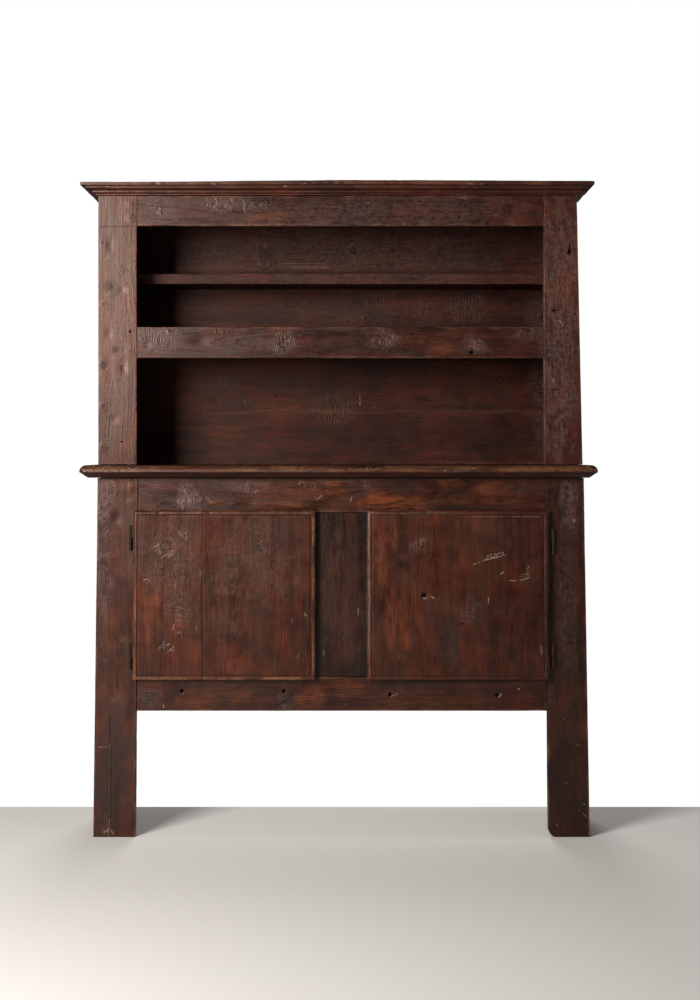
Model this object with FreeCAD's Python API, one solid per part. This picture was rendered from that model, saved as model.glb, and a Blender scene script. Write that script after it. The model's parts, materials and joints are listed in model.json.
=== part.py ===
import FreeCAD, Part
import math
import os

# Rustic dresser: an open plate rack standing on a two-door cupboard with tall feet.
# Units are millimetres. X runs to the right as seen from the front, Y from the front
# to the back, and Z is up. The origin is on the floor, halfway between the two ends
# of the worktop and halfway between its front and back edges.

# Worktop
worktop_length = 1394.0
worktop_depth = 373.0
worktop_thickness = 35.0
worktop_front_board_width = 205.0
worktop_nose_height = 16.0
worktop_under_bevel = 24.0
worktop_left_corner_radius = 9.0
worktop_right_corner_radius = 18.0

# Where the two cases stand, measured in from the edges of the worktop
base_front_inset = 48.0
base_left_inset = 45.6
base_right_inset = 34.8
rack_setback = 30.0
rack_left_inset = 42.7
rack_right_inset = 33.8

# Cupboard case; its outer sides splay out towards the floor
base_height = 970.0
base_left_splay = 12.1
base_right_splay = 16.2
base_side_thickness = 27.0
base_left_stile_top_width = 109.4
base_left_stile_foot_width = 114.7
base_right_stile_top_width = 104.2
base_right_stile_foot_width = 113.4
frame_thickness = 27.0
leg_height = 340.0
base_bottom_rail_height = 93.0
base_top_rail_height = 94.0
centre_board_width = 161.0
centre_board_offset = 7.5
centre_board_recess = 2.0
left_foot_inner_radius = 5.0
right_foot_inner_radius = 22.0
right_foot_outer_radius = 8.0
splice_width = 46.0
splice_height = 246.0

# Cupboard floor on its cleats
floor_thickness = 26.0
floor_below_rail_top = 31.0
floor_front_board_width = 150.0
floor_end_gap = 0.5
cleat_height = 26.0
cleat_width = 25.0
cleat_end_gap = 6.0

# Back boards, held in rebates in the sides
back_thickness = 20.0
back_end_gap = 0.5
base_back_drop = 26.0
base_rebate_width = 14.0
rack_rebate_width = 12.0
base_back_seam_shares = (0.0, 0.35, 0.67, 1.0)
rack_back_seam_shares = (0.0, 0.204, 0.433, 0.693, 1.0)

# Plate rack; its right side leans in towards the top
rack_height = 731.4
rack_side_thickness = 25.0
rack_left_stile_width = 106.2
rack_right_stile_width = 107.2
rack_right_lean = 16.0
rack_top_rail_height = 83.7
gallery_height = 85.6
gallery_above_worktop = 289.0
lower_shelf_thickness = 28.0
lower_shelf_above_worktop = 303.0
upper_shelf_thickness = 30.5
upper_shelf_above_worktop = 500.0
upper_shelf_setback = 110.0
shelf_edge_radius = 3.0
housing_depth = 8.0
housing_clearance = 0.3

# Cornice around the top board
top_board_thickness = 22.0
cornice_height = 36.0
cornice_projection = 42.5
cornice_seat = 12.0

# Mortise and tenon joints and their pegs
tenon_length = 45.0
tenon_thickness = 9.0
tenon_shoulder = 10.0
centre_tenon_length = 32.0
joint_clearance = 0.2
mortise_end_gap = 1.5
peg_radius = 3.6
peg_clearance = 0.1
peg_inset = 18.0
peg_proud = 0.4
empty_hole_radius = 2.6
empty_hole_depth = 9.0

# Doors: boards that lap over the frame, with ledges across their backs
door_thickness = 24.0
door_seat_gap = 0.3
door_top_lap = 6.4
door_bottom_lap = 7.2
door_centre_lap = 10.7
left_door_stile_lap = 8.8
right_door_stile_lap = 4.5
left_closing_plank_width = 304.0
right_closing_plank_width = 245.0
door_edge_radius = 8.0
door_groove_inset = 12.0
door_groove_width = 3.0
ledge_height = 60.0
ledge_thickness = 20.0
ledge_inset = 60.0
ledge_hinge_clearance = 14.0
ledge_free_clearance = 6.0

# Hinges: two knuckles on a pin, with blades let into the door edge and the stile
hinge_length = 68.0
hinge_standoff = 5.0
knuckle_radius = 3.75
knuckle_gap = 0.4
hinge_pin_radius = 2.0
hinge_pin_fit = 0.03
hinge_pin_play = 0.1
blade_thickness = 2.0
blade_clearance = 0.1
frame_blade_depth = 20.0
door_blade_grip = 22.0
left_hinge_inset = 17.3
right_hinge_inset = 18.2
left_upper_hinge_drop = 73.8
left_lower_hinge_rise = 62.9
right_upper_hinge_drop = 84.5
right_lower_hinge_rise = 64.2

# Forged nails: the large ones hold boards, the small ones hold hinge blades
nail_width = 3.4
nail_head_width = 8.0
nail_head_thickness = 1.8
nail_point = 8.0
nail_bite = 30.0
nail_sink = 0.3
nail_clearance = 0.05
nail_end_gap = 0.5
ledge_nail_bite = 15.0
cleat_nail_bite = 18.0
gallery_nail_cover = 3.0
pin_nail_width = 2.0
pin_nail_head_width = 4.6
pin_nail_head_thickness = 1.0
pin_nail_point = 4.0
pin_nail_bite = 8.0
floor_nail_hole_radius = 4.75
floor_nail_hole_depth = 12.0

# Dowels that locate the rack on the worktop
dowel_radius = 7.0
dowel_clearance = 0.1
dowel_end_gap = 0.5
dowel_depth_in_worktop = 22.0
dowel_depth_in_side = 30.0

# One overrun for every cut that has to pass a surface
cut_overrun = 5.0

# Places of nails and pegs, as shares of the piece that carries them
base_left_nail_shares = ((0.78, 0.943), (0.70, 0.885), (0.56, 0.771), (0.50, 0.52), (0.55, 0.35))
base_right_nail_shares = ((0.40, 0.907), (0.60, 0.70), (0.55, 0.46), (0.88, 0.257), (0.50, 0.10))
rack_left_nail_shares = ((0.51, 0.825), (0.60, 0.597), (0.50, 0.380), (0.55, 0.214), (0.50, 0.065))
rack_right_nail_shares = ((0.76, 0.790), (0.50, 0.560), (0.50, 0.420), (0.70, 0.302), (0.76, 0.062))
floor_nail_shares = ((0.111, 0.70), (0.3595, 0.70), (0.6177, 0.34), (0.878, 0.31))
rail_peg_shares = (0.27, 0.73)
centre_peg_share = 0.65
gallery_hole_share = 0.84
gallery_nail_share = 0.216
gallery_peg_share = 0.5
back_nail_shares = (0.2, 0.8)
floor_back_nail_shares = (0.2, 0.5, 0.8)
worktop_rail_nail_shares = (0.12, 0.37, 0.63, 0.88)
worktop_side_nail_shares = (0.12, 0.55, 0.88)
dowel_shares = (0.30, 0.75)
cornice_front_nail_shares = (0.12, 0.38, 0.62, 0.88)
cornice_side_nail_shares = (0.35, 0.88)
top_board_nail_shares = (0.20, 0.60, 0.94)
shelf_nail_shares = (0.25, 0.72)
cleat_nail_shares = (0.12, 0.5, 0.88)
ledge_nail_shares = (0.2, 0.8)
blade_nail_shares = (0.25, 0.75)

# Section of the cornice, up from the bottom at the face of the case, as shares of its
# projection and height: a straight run has one point, an arc has its middle and its end
cornice_section_shares = (
    (0.12, 0.00), (0.12, 0.11), (0.19, 0.11), (0.305, 0.165, 0.32, 0.27), (0.32, 0.34),
    (0.47, 0.34), (0.68, 0.42, 0.73, 0.58), (0.73, 0.67), (0.93, 0.67),
    (0.98, 0.685, 1.0, 0.73), (1.0, 0.95), (0.987, 0.987, 0.95, 1.0),
)

# Main planes
worktop_left = -worktop_length / 2
worktop_right = worktop_length / 2
worktop_front = -worktop_depth / 2
back_face = worktop_depth / 2
base_front = worktop_front + base_front_inset
rack_front = base_front + rack_setback
frame_back = base_front + frame_thickness
rack_frame_back = rack_front + frame_thickness
back_inner = back_face - back_thickness
worktop_top = base_height + worktop_thickness
rack_top = worktop_top + rack_height
bottom_rail_top = leg_height + base_bottom_rail_height
top_rail_bottom = base_height - base_top_rail_height
floor_top = bottom_rail_top - floor_below_rail_top
floor_bottom = floor_top - floor_thickness
cleat_bottom = floor_bottom - cleat_height
rack_rail_bottom = rack_top - rack_top_rail_height
gallery_bottom = worktop_top + gallery_above_worktop
gallery_top = gallery_bottom + gallery_height

OUTWARD_LEFT = FreeCAD.Vector(-1, 0, 0)
OUTWARD_RIGHT = FreeCAD.Vector(1, 0, 0)
TO_BACK = FreeCAD.Vector(0, 1, 0)
TO_FRONT = FreeCAD.Vector(0, -1, 0)
DOWN = FreeCAD.Vector(0, 0, -1)
UP = FreeCAD.Vector(0, 0, 1)

parts = {}
holes = {}


def leaning_edge(x_low, z_low, x_high, z_high):
    """Return a function that gives the X of a leaning edge at any height."""
    def at(z):
        return x_low + (x_high - x_low) * (z - z_low) / (z_high - z_low)
    return at


def moved(edge, distance):
    """Return the same edge moved along X."""
    return lambda z: edge(z) + distance


def fixed(x):
    """Return an upright edge."""
    return lambda z: x


base_left = leaning_edge(worktop_left + base_left_inset - base_left_splay, 0.0,
                         worktop_left + base_left_inset, base_height)
base_right = leaning_edge(worktop_right - base_right_inset + base_right_splay, 0.0,
                          worktop_right - base_right_inset, base_height)
base_left_inner = leaning_edge(base_left(0.0) + base_left_stile_foot_width, 0.0,
                               base_left(base_height) + base_left_stile_top_width, base_height)
base_right_inner = leaning_edge(base_right(0.0) - base_right_stile_foot_width, 0.0,
                                base_right(base_height) - base_right_stile_top_width, base_height)
rack_left = fixed(worktop_left + rack_left_inset)
rack_right = leaning_edge(worktop_right - rack_right_inset, worktop_top,
                          worktop_right - rack_right_inset - rack_right_lean, rack_top)
rack_left_inner = moved(rack_left, rack_left_stile_width)
rack_right_inner = fixed(rack_right(worktop_top) - rack_right_stile_width)
centre_left = fixed(centre_board_offset - centre_board_width / 2)
centre_right = fixed(centre_board_offset + centre_board_width / 2)


def at_share(low, high, share):
    return low + (high - low) * share


def box(x0, x1, y0, y1, z0, z1):
    return Part.makeBox(x1 - x0, y1 - y0, z1 - z0, FreeCAD.Vector(x0, y0, z0))


def cylinder(radius, length, start, direction):
    return Part.makeCylinder(radius, length, start, direction)


def prism(edges, direction):
    """Extrude a closed chain of edges."""
    return Part.Face(Part.Wire(edges)).extrude(direction)


def rounded_edges(corners, radii, place):
    """Edges of a polygon whose corners have radii; place puts a flat point in space."""
    count = len(corners)
    spans = []
    for i in range(count):
        here = FreeCAD.Vector(corners[i][0], corners[i][1], 0)
        before = FreeCAD.Vector(corners[i - 1][0], corners[i - 1][1], 0)
        after = FreeCAD.Vector(corners[(i + 1) % count][0], corners[(i + 1) % count][1], 0)
        to_before = (before - here).normalize()
        to_after = (after - here).normalize()
        half_angle = to_before.getAngle(to_after) / 2
        reach = radii[i] / math.tan(half_angle)
        bisector = (to_before + to_after).normalize()
        middle = here + bisector * (radii[i] / math.sin(half_angle) - radii[i])
        spans.append((here + to_before * reach, middle, here + to_after * reach))
    edges = []
    for i in range(count):
        start, middle, end = (place(point.x, point.y) for point in spans[i])
        if radii[i] > 0:
            edges.append(Part.Arc(start, middle, end).toShape())
        following = spans[(i + 1) % count][0]
        edges.append(Part.LineSegment(end, place(following.x, following.y)).toShape())
    return edges


def section_edges(start, steps, place):
    """Edges of a closed section: a step is a point, or an arc's middle and its end."""
    here = place(*start)
    first = here
    edges = []
    for step in steps:
        there = place(*step[-2:])
        if len(step) > 2:
            edges.append(Part.Arc(here, place(*step[:2]), there).toShape())
        else:
            edges.append(Part.LineSegment(here, there).toShape())
        here = there
    edges.append(Part.LineSegment(here, first).toShape())
    return edges


def upright(y):
    """Place flat points in the upright plane at a depth."""
    return lambda x, z: FreeCAD.Vector(x, y, z)


def level(z):
    """Place flat points in the level plane at a height."""
    return lambda x, y: FreeCAD.Vector(x, y, z)


def board(left, right, y0, y1, z0, z1, radii=(0, 0, 0, 0)):
    """Board between two edges that may lean; radii start at the lower left corner."""
    corners = ((left(z0), z0), (right(z0), z0), (right(z1), z1), (left(z1), z1))
    return prism(rounded_edges(corners, radii, upright(y0)), TO_BACK * (y1 - y0))


def cut_hole(tool, *names):
    """Remember a hole for each named board; all holes are cut before the export."""
    for name in names:
        holes.setdefault(name, []).append(tool)


def add_to_group(name, solid):
    parts.setdefault(name, []).append(solid)


def drive_nail(group, point, direction, length, boards, small=False):
    """Drive a nail at a point of the surface and cut its hole in the boards."""
    width = pin_nail_width if small else nail_width
    head_width = pin_nail_head_width if small else nail_head_width
    head_thickness = pin_nail_head_thickness if small else nail_head_thickness
    tip = pin_nail_point if small else nail_point
    half = width / 2
    head_half = head_width / 2
    rim = head_half - head_thickness / 2
    head = Part.makeWedge(-rim, 0, -rim, -head_half, -head_half,
                          rim, head_thickness / 2, rim, head_half, head_half)
    head = head.fuse(Part.makeBox(head_width, head_thickness / 2, head_width,
                                  FreeCAD.Vector(-head_half, head_thickness / 2, -head_half)))
    shank = Part.makeBox(width, length - head_thickness - tip, width,
                         FreeCAD.Vector(-half, head_thickness, -half))
    point_start = length - tip
    point_half = half / 2
    spike = Part.makeWedge(-half, point_start, -half, -point_half, -point_half,
                           half, length, half, point_half, point_half)
    nail = head.fuse([shank, spike]).removeSplitter()
    hole = Part.makeBox(head_width + 2 * nail_clearance, head_thickness + nail_sink + cut_overrun,
                        head_width + 2 * nail_clearance,
                        FreeCAD.Vector(-head_half - nail_clearance, -nail_sink - cut_overrun,
                                       -head_half - nail_clearance))
    shank_hole = Part.makeBox(width + 2 * nail_clearance, length + nail_end_gap,
                              width + 2 * nail_clearance,
                              FreeCAD.Vector(-half - nail_clearance, 0, -half - nail_clearance))
    hole = hole.fuse(shank_hole)
    placement = FreeCAD.Placement(point + direction * nail_sink,
                                  FreeCAD.Rotation(TO_BACK, direction))
    add_to_group(group, nail.transformGeometry(placement.toMatrix()))
    cut_hole(hole.transformGeometry(placement.toMatrix()), *boards)


def drive_peg(x, z, front, boards):
    """Peg a tenon right through the frame at a place on its front."""
    start = FreeCAD.Vector(x, front - peg_proud, z)
    add_to_group("rail_pegs", cylinder(peg_radius, frame_thickness + peg_proud, start, TO_BACK))
    hole_start = FreeCAD.Vector(x, front - cut_overrun, z)
    hole = cylinder(peg_radius + peg_clearance, frame_thickness + cut_overrun, hole_start, TO_BACK)
    cut_hole(hole, *boards)


def tenon_cheeks(front):
    """Front and back of a tenon in the middle of the frame's thickness."""
    middle = front + frame_thickness / 2
    return middle - tenon_thickness / 2, middle + tenon_thickness / 2


def add_rail(name, left, right, front, z0, z1, left_stile, right_stile):
    """Rail between two stiles, with a tenon at each end and its mortises."""
    body = board(left, right, front, front + frame_thickness, z0, z1)
    middle = (z0 + z1) / 2
    y0, y1 = tenon_cheeks(front)
    tenon_z0 = z0 + tenon_shoulder
    tenon_z1 = z1 - tenon_shoulder
    left_end = left(middle) - tenon_length
    right_end = right(middle) + tenon_length
    tenon = box(left_end, right_end, y0, y1, tenon_z0, tenon_z1)
    parts[name] = body.fuse(tenon)
    mortise = box(left_end - mortise_end_gap, right_end + mortise_end_gap,
                  y0 - joint_clearance, y1 + joint_clearance,
                  tenon_z0 - joint_clearance, tenon_z1 + joint_clearance)
    cut_hole(mortise, left_stile, right_stile)


def add_base_frame():
    """Front frame of the cupboard: two stiles that run down as feet, two rails, a board."""
    left_radii = (0, left_foot_inner_radius, 0, 0)
    right_radii = (right_foot_inner_radius, right_foot_outer_radius, 0, 0)
    parts["base_stile_left"] = board(base_left, base_left_inner, base_front, frame_back,
                                     0.0, base_height, left_radii)
    parts["base_stile_right"] = board(base_right_inner, base_right, base_front, frame_back,
                                      0.0, base_height, right_radii)
    splice_edge = moved(base_left, splice_width)
    parts["foot_splice"] = board(base_left, splice_edge, base_front, frame_back,
                                 0.0, splice_height)
    outside = moved(base_left, -cut_overrun)
    notch = board(outside, splice_edge, base_front - cut_overrun, frame_back + cut_overrun,
                  -cut_overrun, splice_height)
    cut_hole(notch, "base_stile_left")
    stiles = ("base_stile_left", "base_stile_right")
    add_rail("base_bottom_rail", base_left_inner, base_right_inner, base_front,
             leg_height, bottom_rail_top, *stiles)
    add_rail("base_top_rail", base_left_inner, base_right_inner, base_front,
             top_rail_bottom, base_height, *stiles)
    face = board(centre_left, centre_right, base_front + centre_board_recess, frame_back,
                 bottom_rail_top, top_rail_bottom)
    y0, y1 = tenon_cheeks(base_front)
    x0 = centre_left(0.0) + 2 * tenon_shoulder
    x1 = centre_right(0.0) - 2 * tenon_shoulder
    z0 = bottom_rail_top - centre_tenon_length
    z1 = top_rail_bottom + centre_tenon_length
    parts["base_centre_board"] = face.fuse(box(x0, x1, y0, y1, z0, z1))
    mortise = box(x0 - joint_clearance, x1 + joint_clearance,
                  y0 - joint_clearance, y1 + joint_clearance,
                  z0 - mortise_end_gap, z1 + mortise_end_gap)
    cut_hole(mortise, "base_bottom_rail", "base_top_rail")
    for rail, z_low, z_high in (("base_bottom_rail", leg_height, bottom_rail_top),
                                ("base_top_rail", top_rail_bottom, base_height)):
        for share in rail_peg_shares:
            z = at_share(z_low, z_high, share)
            drive_peg(base_left_inner(z) - peg_inset, z, base_front, ("base_stile_left", rail))
            drive_peg(base_right_inner(z) + peg_inset, z, base_front, ("base_stile_right", rail))
    centre_peg_x = at_share(centre_left(0.0), centre_right(0.0), centre_peg_share)
    half_tenon = centre_tenon_length / 2
    drive_peg(centre_peg_x, bottom_rail_top - half_tenon, base_front,
              ("base_bottom_rail", "base_centre_board"))
    drive_peg(centre_peg_x, top_rail_bottom + half_tenon, base_front,
              ("base_top_rail", "base_centre_board"))


def add_side(name, outer, thickness, y0, z0, z1, rebate_width, rebate_z0):
    """Side board, rebated along its inner back edge; a negative thickness goes left."""
    inner = moved(outer, thickness)
    left, right = (outer, inner) if thickness > 0 else (inner, outer)
    side = board(left, right, y0, back_face, z0, z1)
    direction = math.copysign(1, thickness)
    rebate_outer = moved(inner, -direction * rebate_width)
    rebate_inner = moved(inner, direction * cut_overrun)
    left, right = (rebate_outer, rebate_inner) if thickness > 0 else (rebate_inner, rebate_outer)
    rebate = board(left, right, back_inner, back_face + cut_overrun,
                   rebate_z0, z1 + cut_overrun)
    parts[name] = side.cut(rebate)


def add_back(prefix, names, left, right, z0, z1, seam_shares, sides):
    """Level back boards between the rebates of two sides, nailed at both ends."""
    plank_left = moved(left, back_end_gap)
    plank_right = moved(right, -back_end_gap)
    for name, low_share, high_share in zip(names, seam_shares, seam_shares[1:]):
        low = at_share(z0, z1, low_share)
        high = at_share(z0, z1, high_share)
        plank = prefix + name
        parts[plank] = board(plank_left, plank_right, back_inner, back_face, low, high)
        for share in back_nail_shares:
            z = at_share(low, high, share)
            for edge, side in ((left, sides[0]), (right, sides[1])):
                step = sides[2] / 2 if edge is left else -sides[2] / 2
                drive_nail("back_nails", FreeCAD.Vector(edge(z) + step, back_face, z), TO_FRONT,
                           back_thickness + nail_bite, (plank, side))


def add_base_case():
    """Sides, floor on its cleats, and back of the cupboard."""
    back_bottom = floor_bottom - base_back_drop
    add_side("base_side_left", base_left, base_side_thickness, frame_back, 0.0, base_height,
             base_rebate_width, back_bottom)
    add_side("base_side_right", base_right, -base_side_thickness, frame_back, 0.0, base_height,
             base_rebate_width, back_bottom)
    inner_left = moved(base_left, base_side_thickness)
    inner_right = moved(base_right, -base_side_thickness)
    floor_left = moved(inner_left, floor_end_gap)
    floor_right = moved(inner_right, -floor_end_gap)
    floor_seam = frame_back + floor_front_board_width
    parts["cupboard_floor_front"] = board(floor_left, floor_right, frame_back, floor_seam,
                                          floor_bottom, floor_top)
    parts["cupboard_floor_rear"] = board(floor_left, floor_right, floor_seam, back_inner,
                                         floor_bottom, floor_top)
    cleat_front = frame_back + cleat_end_gap
    cleat_rear = back_inner - cleat_end_gap
    parts["floor_cleat_left"] = board(inner_left, moved(inner_left, cleat_width),
                                      cleat_front, cleat_rear, cleat_bottom, floor_bottom)
    parts["floor_cleat_right"] = board(moved(inner_right, -cleat_width), inner_right,
                                       cleat_front, cleat_rear, cleat_bottom, floor_bottom)
    cleat_middle = (cleat_bottom + floor_bottom) / 2
    for share in cleat_nail_shares:
        y = at_share(cleat_front, cleat_rear, share)
        left_start = FreeCAD.Vector(inner_left(cleat_middle) + cleat_width, y, cleat_middle)
        right_start = FreeCAD.Vector(inner_right(cleat_middle) - cleat_width, y, cleat_middle)
        length = cleat_width + cleat_nail_bite
        drive_nail("side_nails", left_start, OUTWARD_LEFT, length,
                   ("floor_cleat_left", "base_side_left"))
        drive_nail("side_nails", right_start, OUTWARD_RIGHT, length,
                   ("floor_cleat_right", "base_side_right"))
    rebate_left = moved(inner_left, -base_rebate_width)
    rebate_right = moved(inner_right, base_rebate_width)
    names = ("lower", "middle", "upper")
    add_back("base_back_", names, rebate_left, rebate_right, back_bottom, base_height,
             base_back_seam_shares, ("base_side_left", "base_side_right", base_rebate_width))
    floor_middle = (floor_bottom + floor_top) / 2
    for share in floor_back_nail_shares:
        x = at_share(floor_left(floor_middle), floor_right(floor_middle), share)
        drive_nail("back_nails", FreeCAD.Vector(x, back_face, floor_middle), TO_FRONT,
                   back_thickness + nail_bite, ("base_back_lower", "cupboard_floor_rear"))


def add_front_nails():
    """Nails through the stiles into the sides, and through the bottom rail into the floor."""
    length = frame_thickness + nail_bite
    for inset_share, height_share in base_left_nail_shares:
        z = base_height * height_share
        x = base_left(z) + base_side_thickness * inset_share
        drive_nail("frame_nails", FreeCAD.Vector(x, base_front, z), TO_BACK, length,
                   ("base_stile_left", "base_side_left"))
    for inset_share, height_share in base_right_nail_shares:
        z = base_height * height_share
        x = base_right(z) - base_side_thickness * inset_share
        drive_nail("frame_nails", FreeCAD.Vector(x, base_front, z), TO_BACK, length,
                   ("base_stile_right", "base_side_right"))
    for inset_share, height_share in rack_left_nail_shares:
        z = worktop_top + rack_height * height_share
        x = rack_left(z) + rack_side_thickness * inset_share
        drive_nail("frame_nails", FreeCAD.Vector(x, rack_front, z), TO_BACK, length,
                   ("rack_stile_left", "rack_side_left", "lower_shelf"))
    for inset_share, height_share in rack_right_nail_shares:
        z = worktop_top + rack_height * height_share
        x = rack_right(z) - rack_side_thickness * inset_share
        drive_nail("frame_nails", FreeCAD.Vector(x, rack_front, z), TO_BACK, length,
                   ("rack_stile_right", "rack_side_right", "lower_shelf"))
    for along_share, height_share in floor_nail_shares:
        z = at_share(floor_bottom, floor_top, height_share)
        x = at_share(base_left_inner(z), base_right_inner(z), along_share)
        mouth = FreeCAD.Vector(x, base_front - cut_overrun, z)
        hole = cylinder(floor_nail_hole_radius, floor_nail_hole_depth + cut_overrun, mouth, TO_BACK)
        cut_hole(hole, "base_bottom_rail")
        bottom = FreeCAD.Vector(x, base_front + floor_nail_hole_depth, z)
        drive_nail("frame_nails", bottom, TO_BACK, length - floor_nail_hole_depth,
                   ("base_bottom_rail", "cupboard_floor_front"))


def add_worktop():
    """Two boards with a rounded nose and a bevel underneath on the front and both ends."""
    nose = base_height + worktop_nose_height
    radius = worktop_thickness - worktop_nose_height
    reach = radius * (1 - math.sqrt(0.5))
    rise = radius * math.sqrt(0.5)
    across = section_edges(
        (worktop_front + worktop_under_bevel, base_height),
        ((back_face, base_height), (back_face, worktop_top), (worktop_front + radius, worktop_top),
         (worktop_front + reach, nose + rise, worktop_front, nose)),
        lambda y, z: FreeCAD.Vector(worktop_left, y, z))
    along = section_edges(
        (worktop_left + worktop_under_bevel, base_height),
        ((worktop_right - worktop_under_bevel, base_height), (worktop_right, nose),
         (worktop_right - reach, nose + rise, worktop_right - radius, worktop_top),
         (worktop_left + radius, worktop_top),
         (worktop_left + reach, nose + rise, worktop_left, nose)),
        upright(worktop_front))
    corners = ((worktop_left, worktop_front), (worktop_right, worktop_front),
               (worktop_right, back_face), (worktop_left, back_face))
    radii = (worktop_left_corner_radius, worktop_right_corner_radius, 0, 0)
    plan = rounded_edges(corners, radii, level(base_height))
    slab = prism(across, OUTWARD_RIGHT * worktop_length)
    slab = slab.common(prism(along, TO_BACK * worktop_depth))
    slab = slab.common(prism(plan, UP * worktop_thickness))
    seam = worktop_front + worktop_front_board_width
    front_half = box(worktop_left, worktop_right, worktop_front, seam, base_height, worktop_top)
    rear_half = box(worktop_left, worktop_right, seam, back_face, base_height, worktop_top)
    parts["worktop_front_board"] = slab.common(front_half)
    parts["worktop_rear_board"] = slab.common(rear_half)
    boards = ("worktop_front_board", "worktop_rear_board")
    length = worktop_thickness + nail_bite
    rail_y = base_front + frame_thickness / 2
    for share in worktop_rail_nail_shares:
        x = at_share(base_left_inner(base_height), base_right_inner(base_height), share)
        drive_nail("top_nails", FreeCAD.Vector(x, rail_y, worktop_top), DOWN, length,
                   boards + ("base_top_rail",))
    half_side = base_side_thickness / 2
    for share in worktop_side_nail_shares:
        y = at_share(frame_back, back_inner, share)
        left_point = FreeCAD.Vector(base_left(base_height) + half_side, y, worktop_top)
        right_point = FreeCAD.Vector(base_right(base_height) - half_side, y, worktop_top)
        drive_nail("top_nails", left_point, DOWN, length, boards + ("base_side_left",))
        drive_nail("top_nails", right_point, DOWN, length, boards + ("base_side_right",))


def add_rack_frame():
    """Front frame of the rack: two stiles, the top rail and the gallery rail."""
    parts["rack_stile_left"] = board(rack_left, rack_left_inner, rack_front, rack_frame_back,
                                     worktop_top, rack_top)
    parts["rack_stile_right"] = board(rack_right_inner, rack_right, rack_front, rack_frame_back,
                                      worktop_top, rack_top)
    stiles = ("rack_stile_left", "rack_stile_right")
    add_rail("rack_top_rail", rack_left_inner, rack_right_inner, rack_front,
             rack_rail_bottom, rack_top, *stiles)
    add_rail("gallery_rail", rack_left_inner, rack_right_inner, rack_front,
             gallery_bottom, gallery_top, *stiles)
    for share in rail_peg_shares:
        z = at_share(rack_rail_bottom, rack_top, share)
        drive_peg(rack_left_inner(z) - peg_inset, z, rack_front,
                  ("rack_stile_left", "rack_top_rail"))
        drive_peg(rack_right_inner(z) + peg_inset, z, rack_front,
                  ("rack_stile_right", "rack_top_rail"))
    peg_z = at_share(gallery_bottom, gallery_top, gallery_peg_share)
    drive_peg(rack_right_inner(peg_z) + peg_inset, peg_z, rack_front,
              ("rack_stile_right", "gallery_rail"))
    nail_z = at_share(gallery_bottom, gallery_top, gallery_nail_share)
    nail_point = FreeCAD.Vector(rack_left_inner(nail_z) - peg_inset, rack_front, nail_z)
    drive_nail("frame_nails", nail_point, TO_BACK, frame_thickness - gallery_nail_cover,
               ("rack_stile_left", "gallery_rail"))
    hole_z = at_share(gallery_bottom, gallery_top, gallery_hole_share)
    mouth = FreeCAD.Vector(rack_left_inner(hole_z) - peg_inset, rack_front - cut_overrun, hole_z)
    empty = cylinder(empty_hole_radius, empty_hole_depth + cut_overrun, mouth, TO_BACK)
    cut_hole(empty, "rack_stile_left")


def add_shelf(name, front, z0, thickness):
    """Shelf housed in both rack sides and nailed through them."""
    inner_left = moved(rack_left, rack_side_thickness)
    inner_right = moved(rack_right, -rack_side_thickness)
    left = moved(inner_left, -housing_depth)
    right = moved(inner_right, housing_depth)
    z1 = z0 + thickness
    shelf = board(moved(left, joint_clearance), moved(right, -joint_clearance),
                  front, back_inner, z0, z1)
    radius = min(shelf_edge_radius, thickness / 3)
    front_edges = [edge for edge in shelf.Edges
                   if max(abs(vertex.Y - front) for vertex in edge.Vertexes) < radius
                   and abs(edge.tangentAt(edge.FirstParameter).x) > math.sqrt(0.5)]
    parts[name] = shelf.makeFillet(radius, front_edges)
    housing = board(left, right, front, back_inner, z0, z1 + housing_clearance)
    cut_hole(housing, "rack_side_left", "rack_side_right")
    middle = (z0 + z1) / 2
    length = rack_side_thickness - housing_depth + nail_bite
    for share in shelf_nail_shares:
        y = at_share(front, back_inner, share)
        drive_nail("side_nails", FreeCAD.Vector(rack_left(middle), y, middle), OUTWARD_RIGHT,
                   length, ("rack_side_left", name))
        drive_nail("side_nails", FreeCAD.Vector(rack_right(middle), y, middle), OUTWARD_LEFT,
                   length, ("rack_side_right", name))


def add_rack_case():
    """Sides, two shelves and back of the rack, and the dowels it stands on."""
    add_side("rack_side_left", rack_left, rack_side_thickness, rack_frame_back,
             worktop_top, rack_top, rack_rebate_width, worktop_top - cut_overrun)
    add_side("rack_side_right", rack_right, -rack_side_thickness, rack_frame_back,
             worktop_top, rack_top, rack_rebate_width, worktop_top - cut_overrun)
    add_shelf("lower_shelf", rack_frame_back, worktop_top + lower_shelf_above_worktop,
              lower_shelf_thickness)
    add_shelf("upper_shelf", rack_front + upper_shelf_setback,
              worktop_top + upper_shelf_above_worktop, upper_shelf_thickness)
    rebate_left = moved(rack_left, rack_side_thickness - rack_rebate_width)
    rebate_right = moved(rack_right, rack_rebate_width - rack_side_thickness)
    names = ("lowest", "lower", "upper", "highest")
    add_back("rack_back_", names, rebate_left, rebate_right, worktop_top, rack_top,
             rack_back_seam_shares, ("rack_side_left", "rack_side_right", rack_rebate_width))
    half_side = rack_side_thickness / 2
    bottom = worktop_top - dowel_depth_in_worktop
    length = dowel_depth_in_worktop + dowel_depth_in_side
    for share in dowel_shares:
        y = at_share(rack_frame_back, back_inner, share)
        for x, side in ((rack_left(worktop_top) + half_side, "rack_side_left"),
                        (rack_right(worktop_top) - half_side, "rack_side_right")):
            add_to_group("rack_dowels",
                         cylinder(dowel_radius, length, FreeCAD.Vector(x, y, bottom), UP))
            hole = cylinder(dowel_radius + dowel_clearance, length + 2 * dowel_end_gap,
                            FreeCAD.Vector(x, y, bottom - dowel_end_gap), UP)
            cut_hole(hole, side, "worktop_front_board", "worktop_rear_board")


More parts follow.
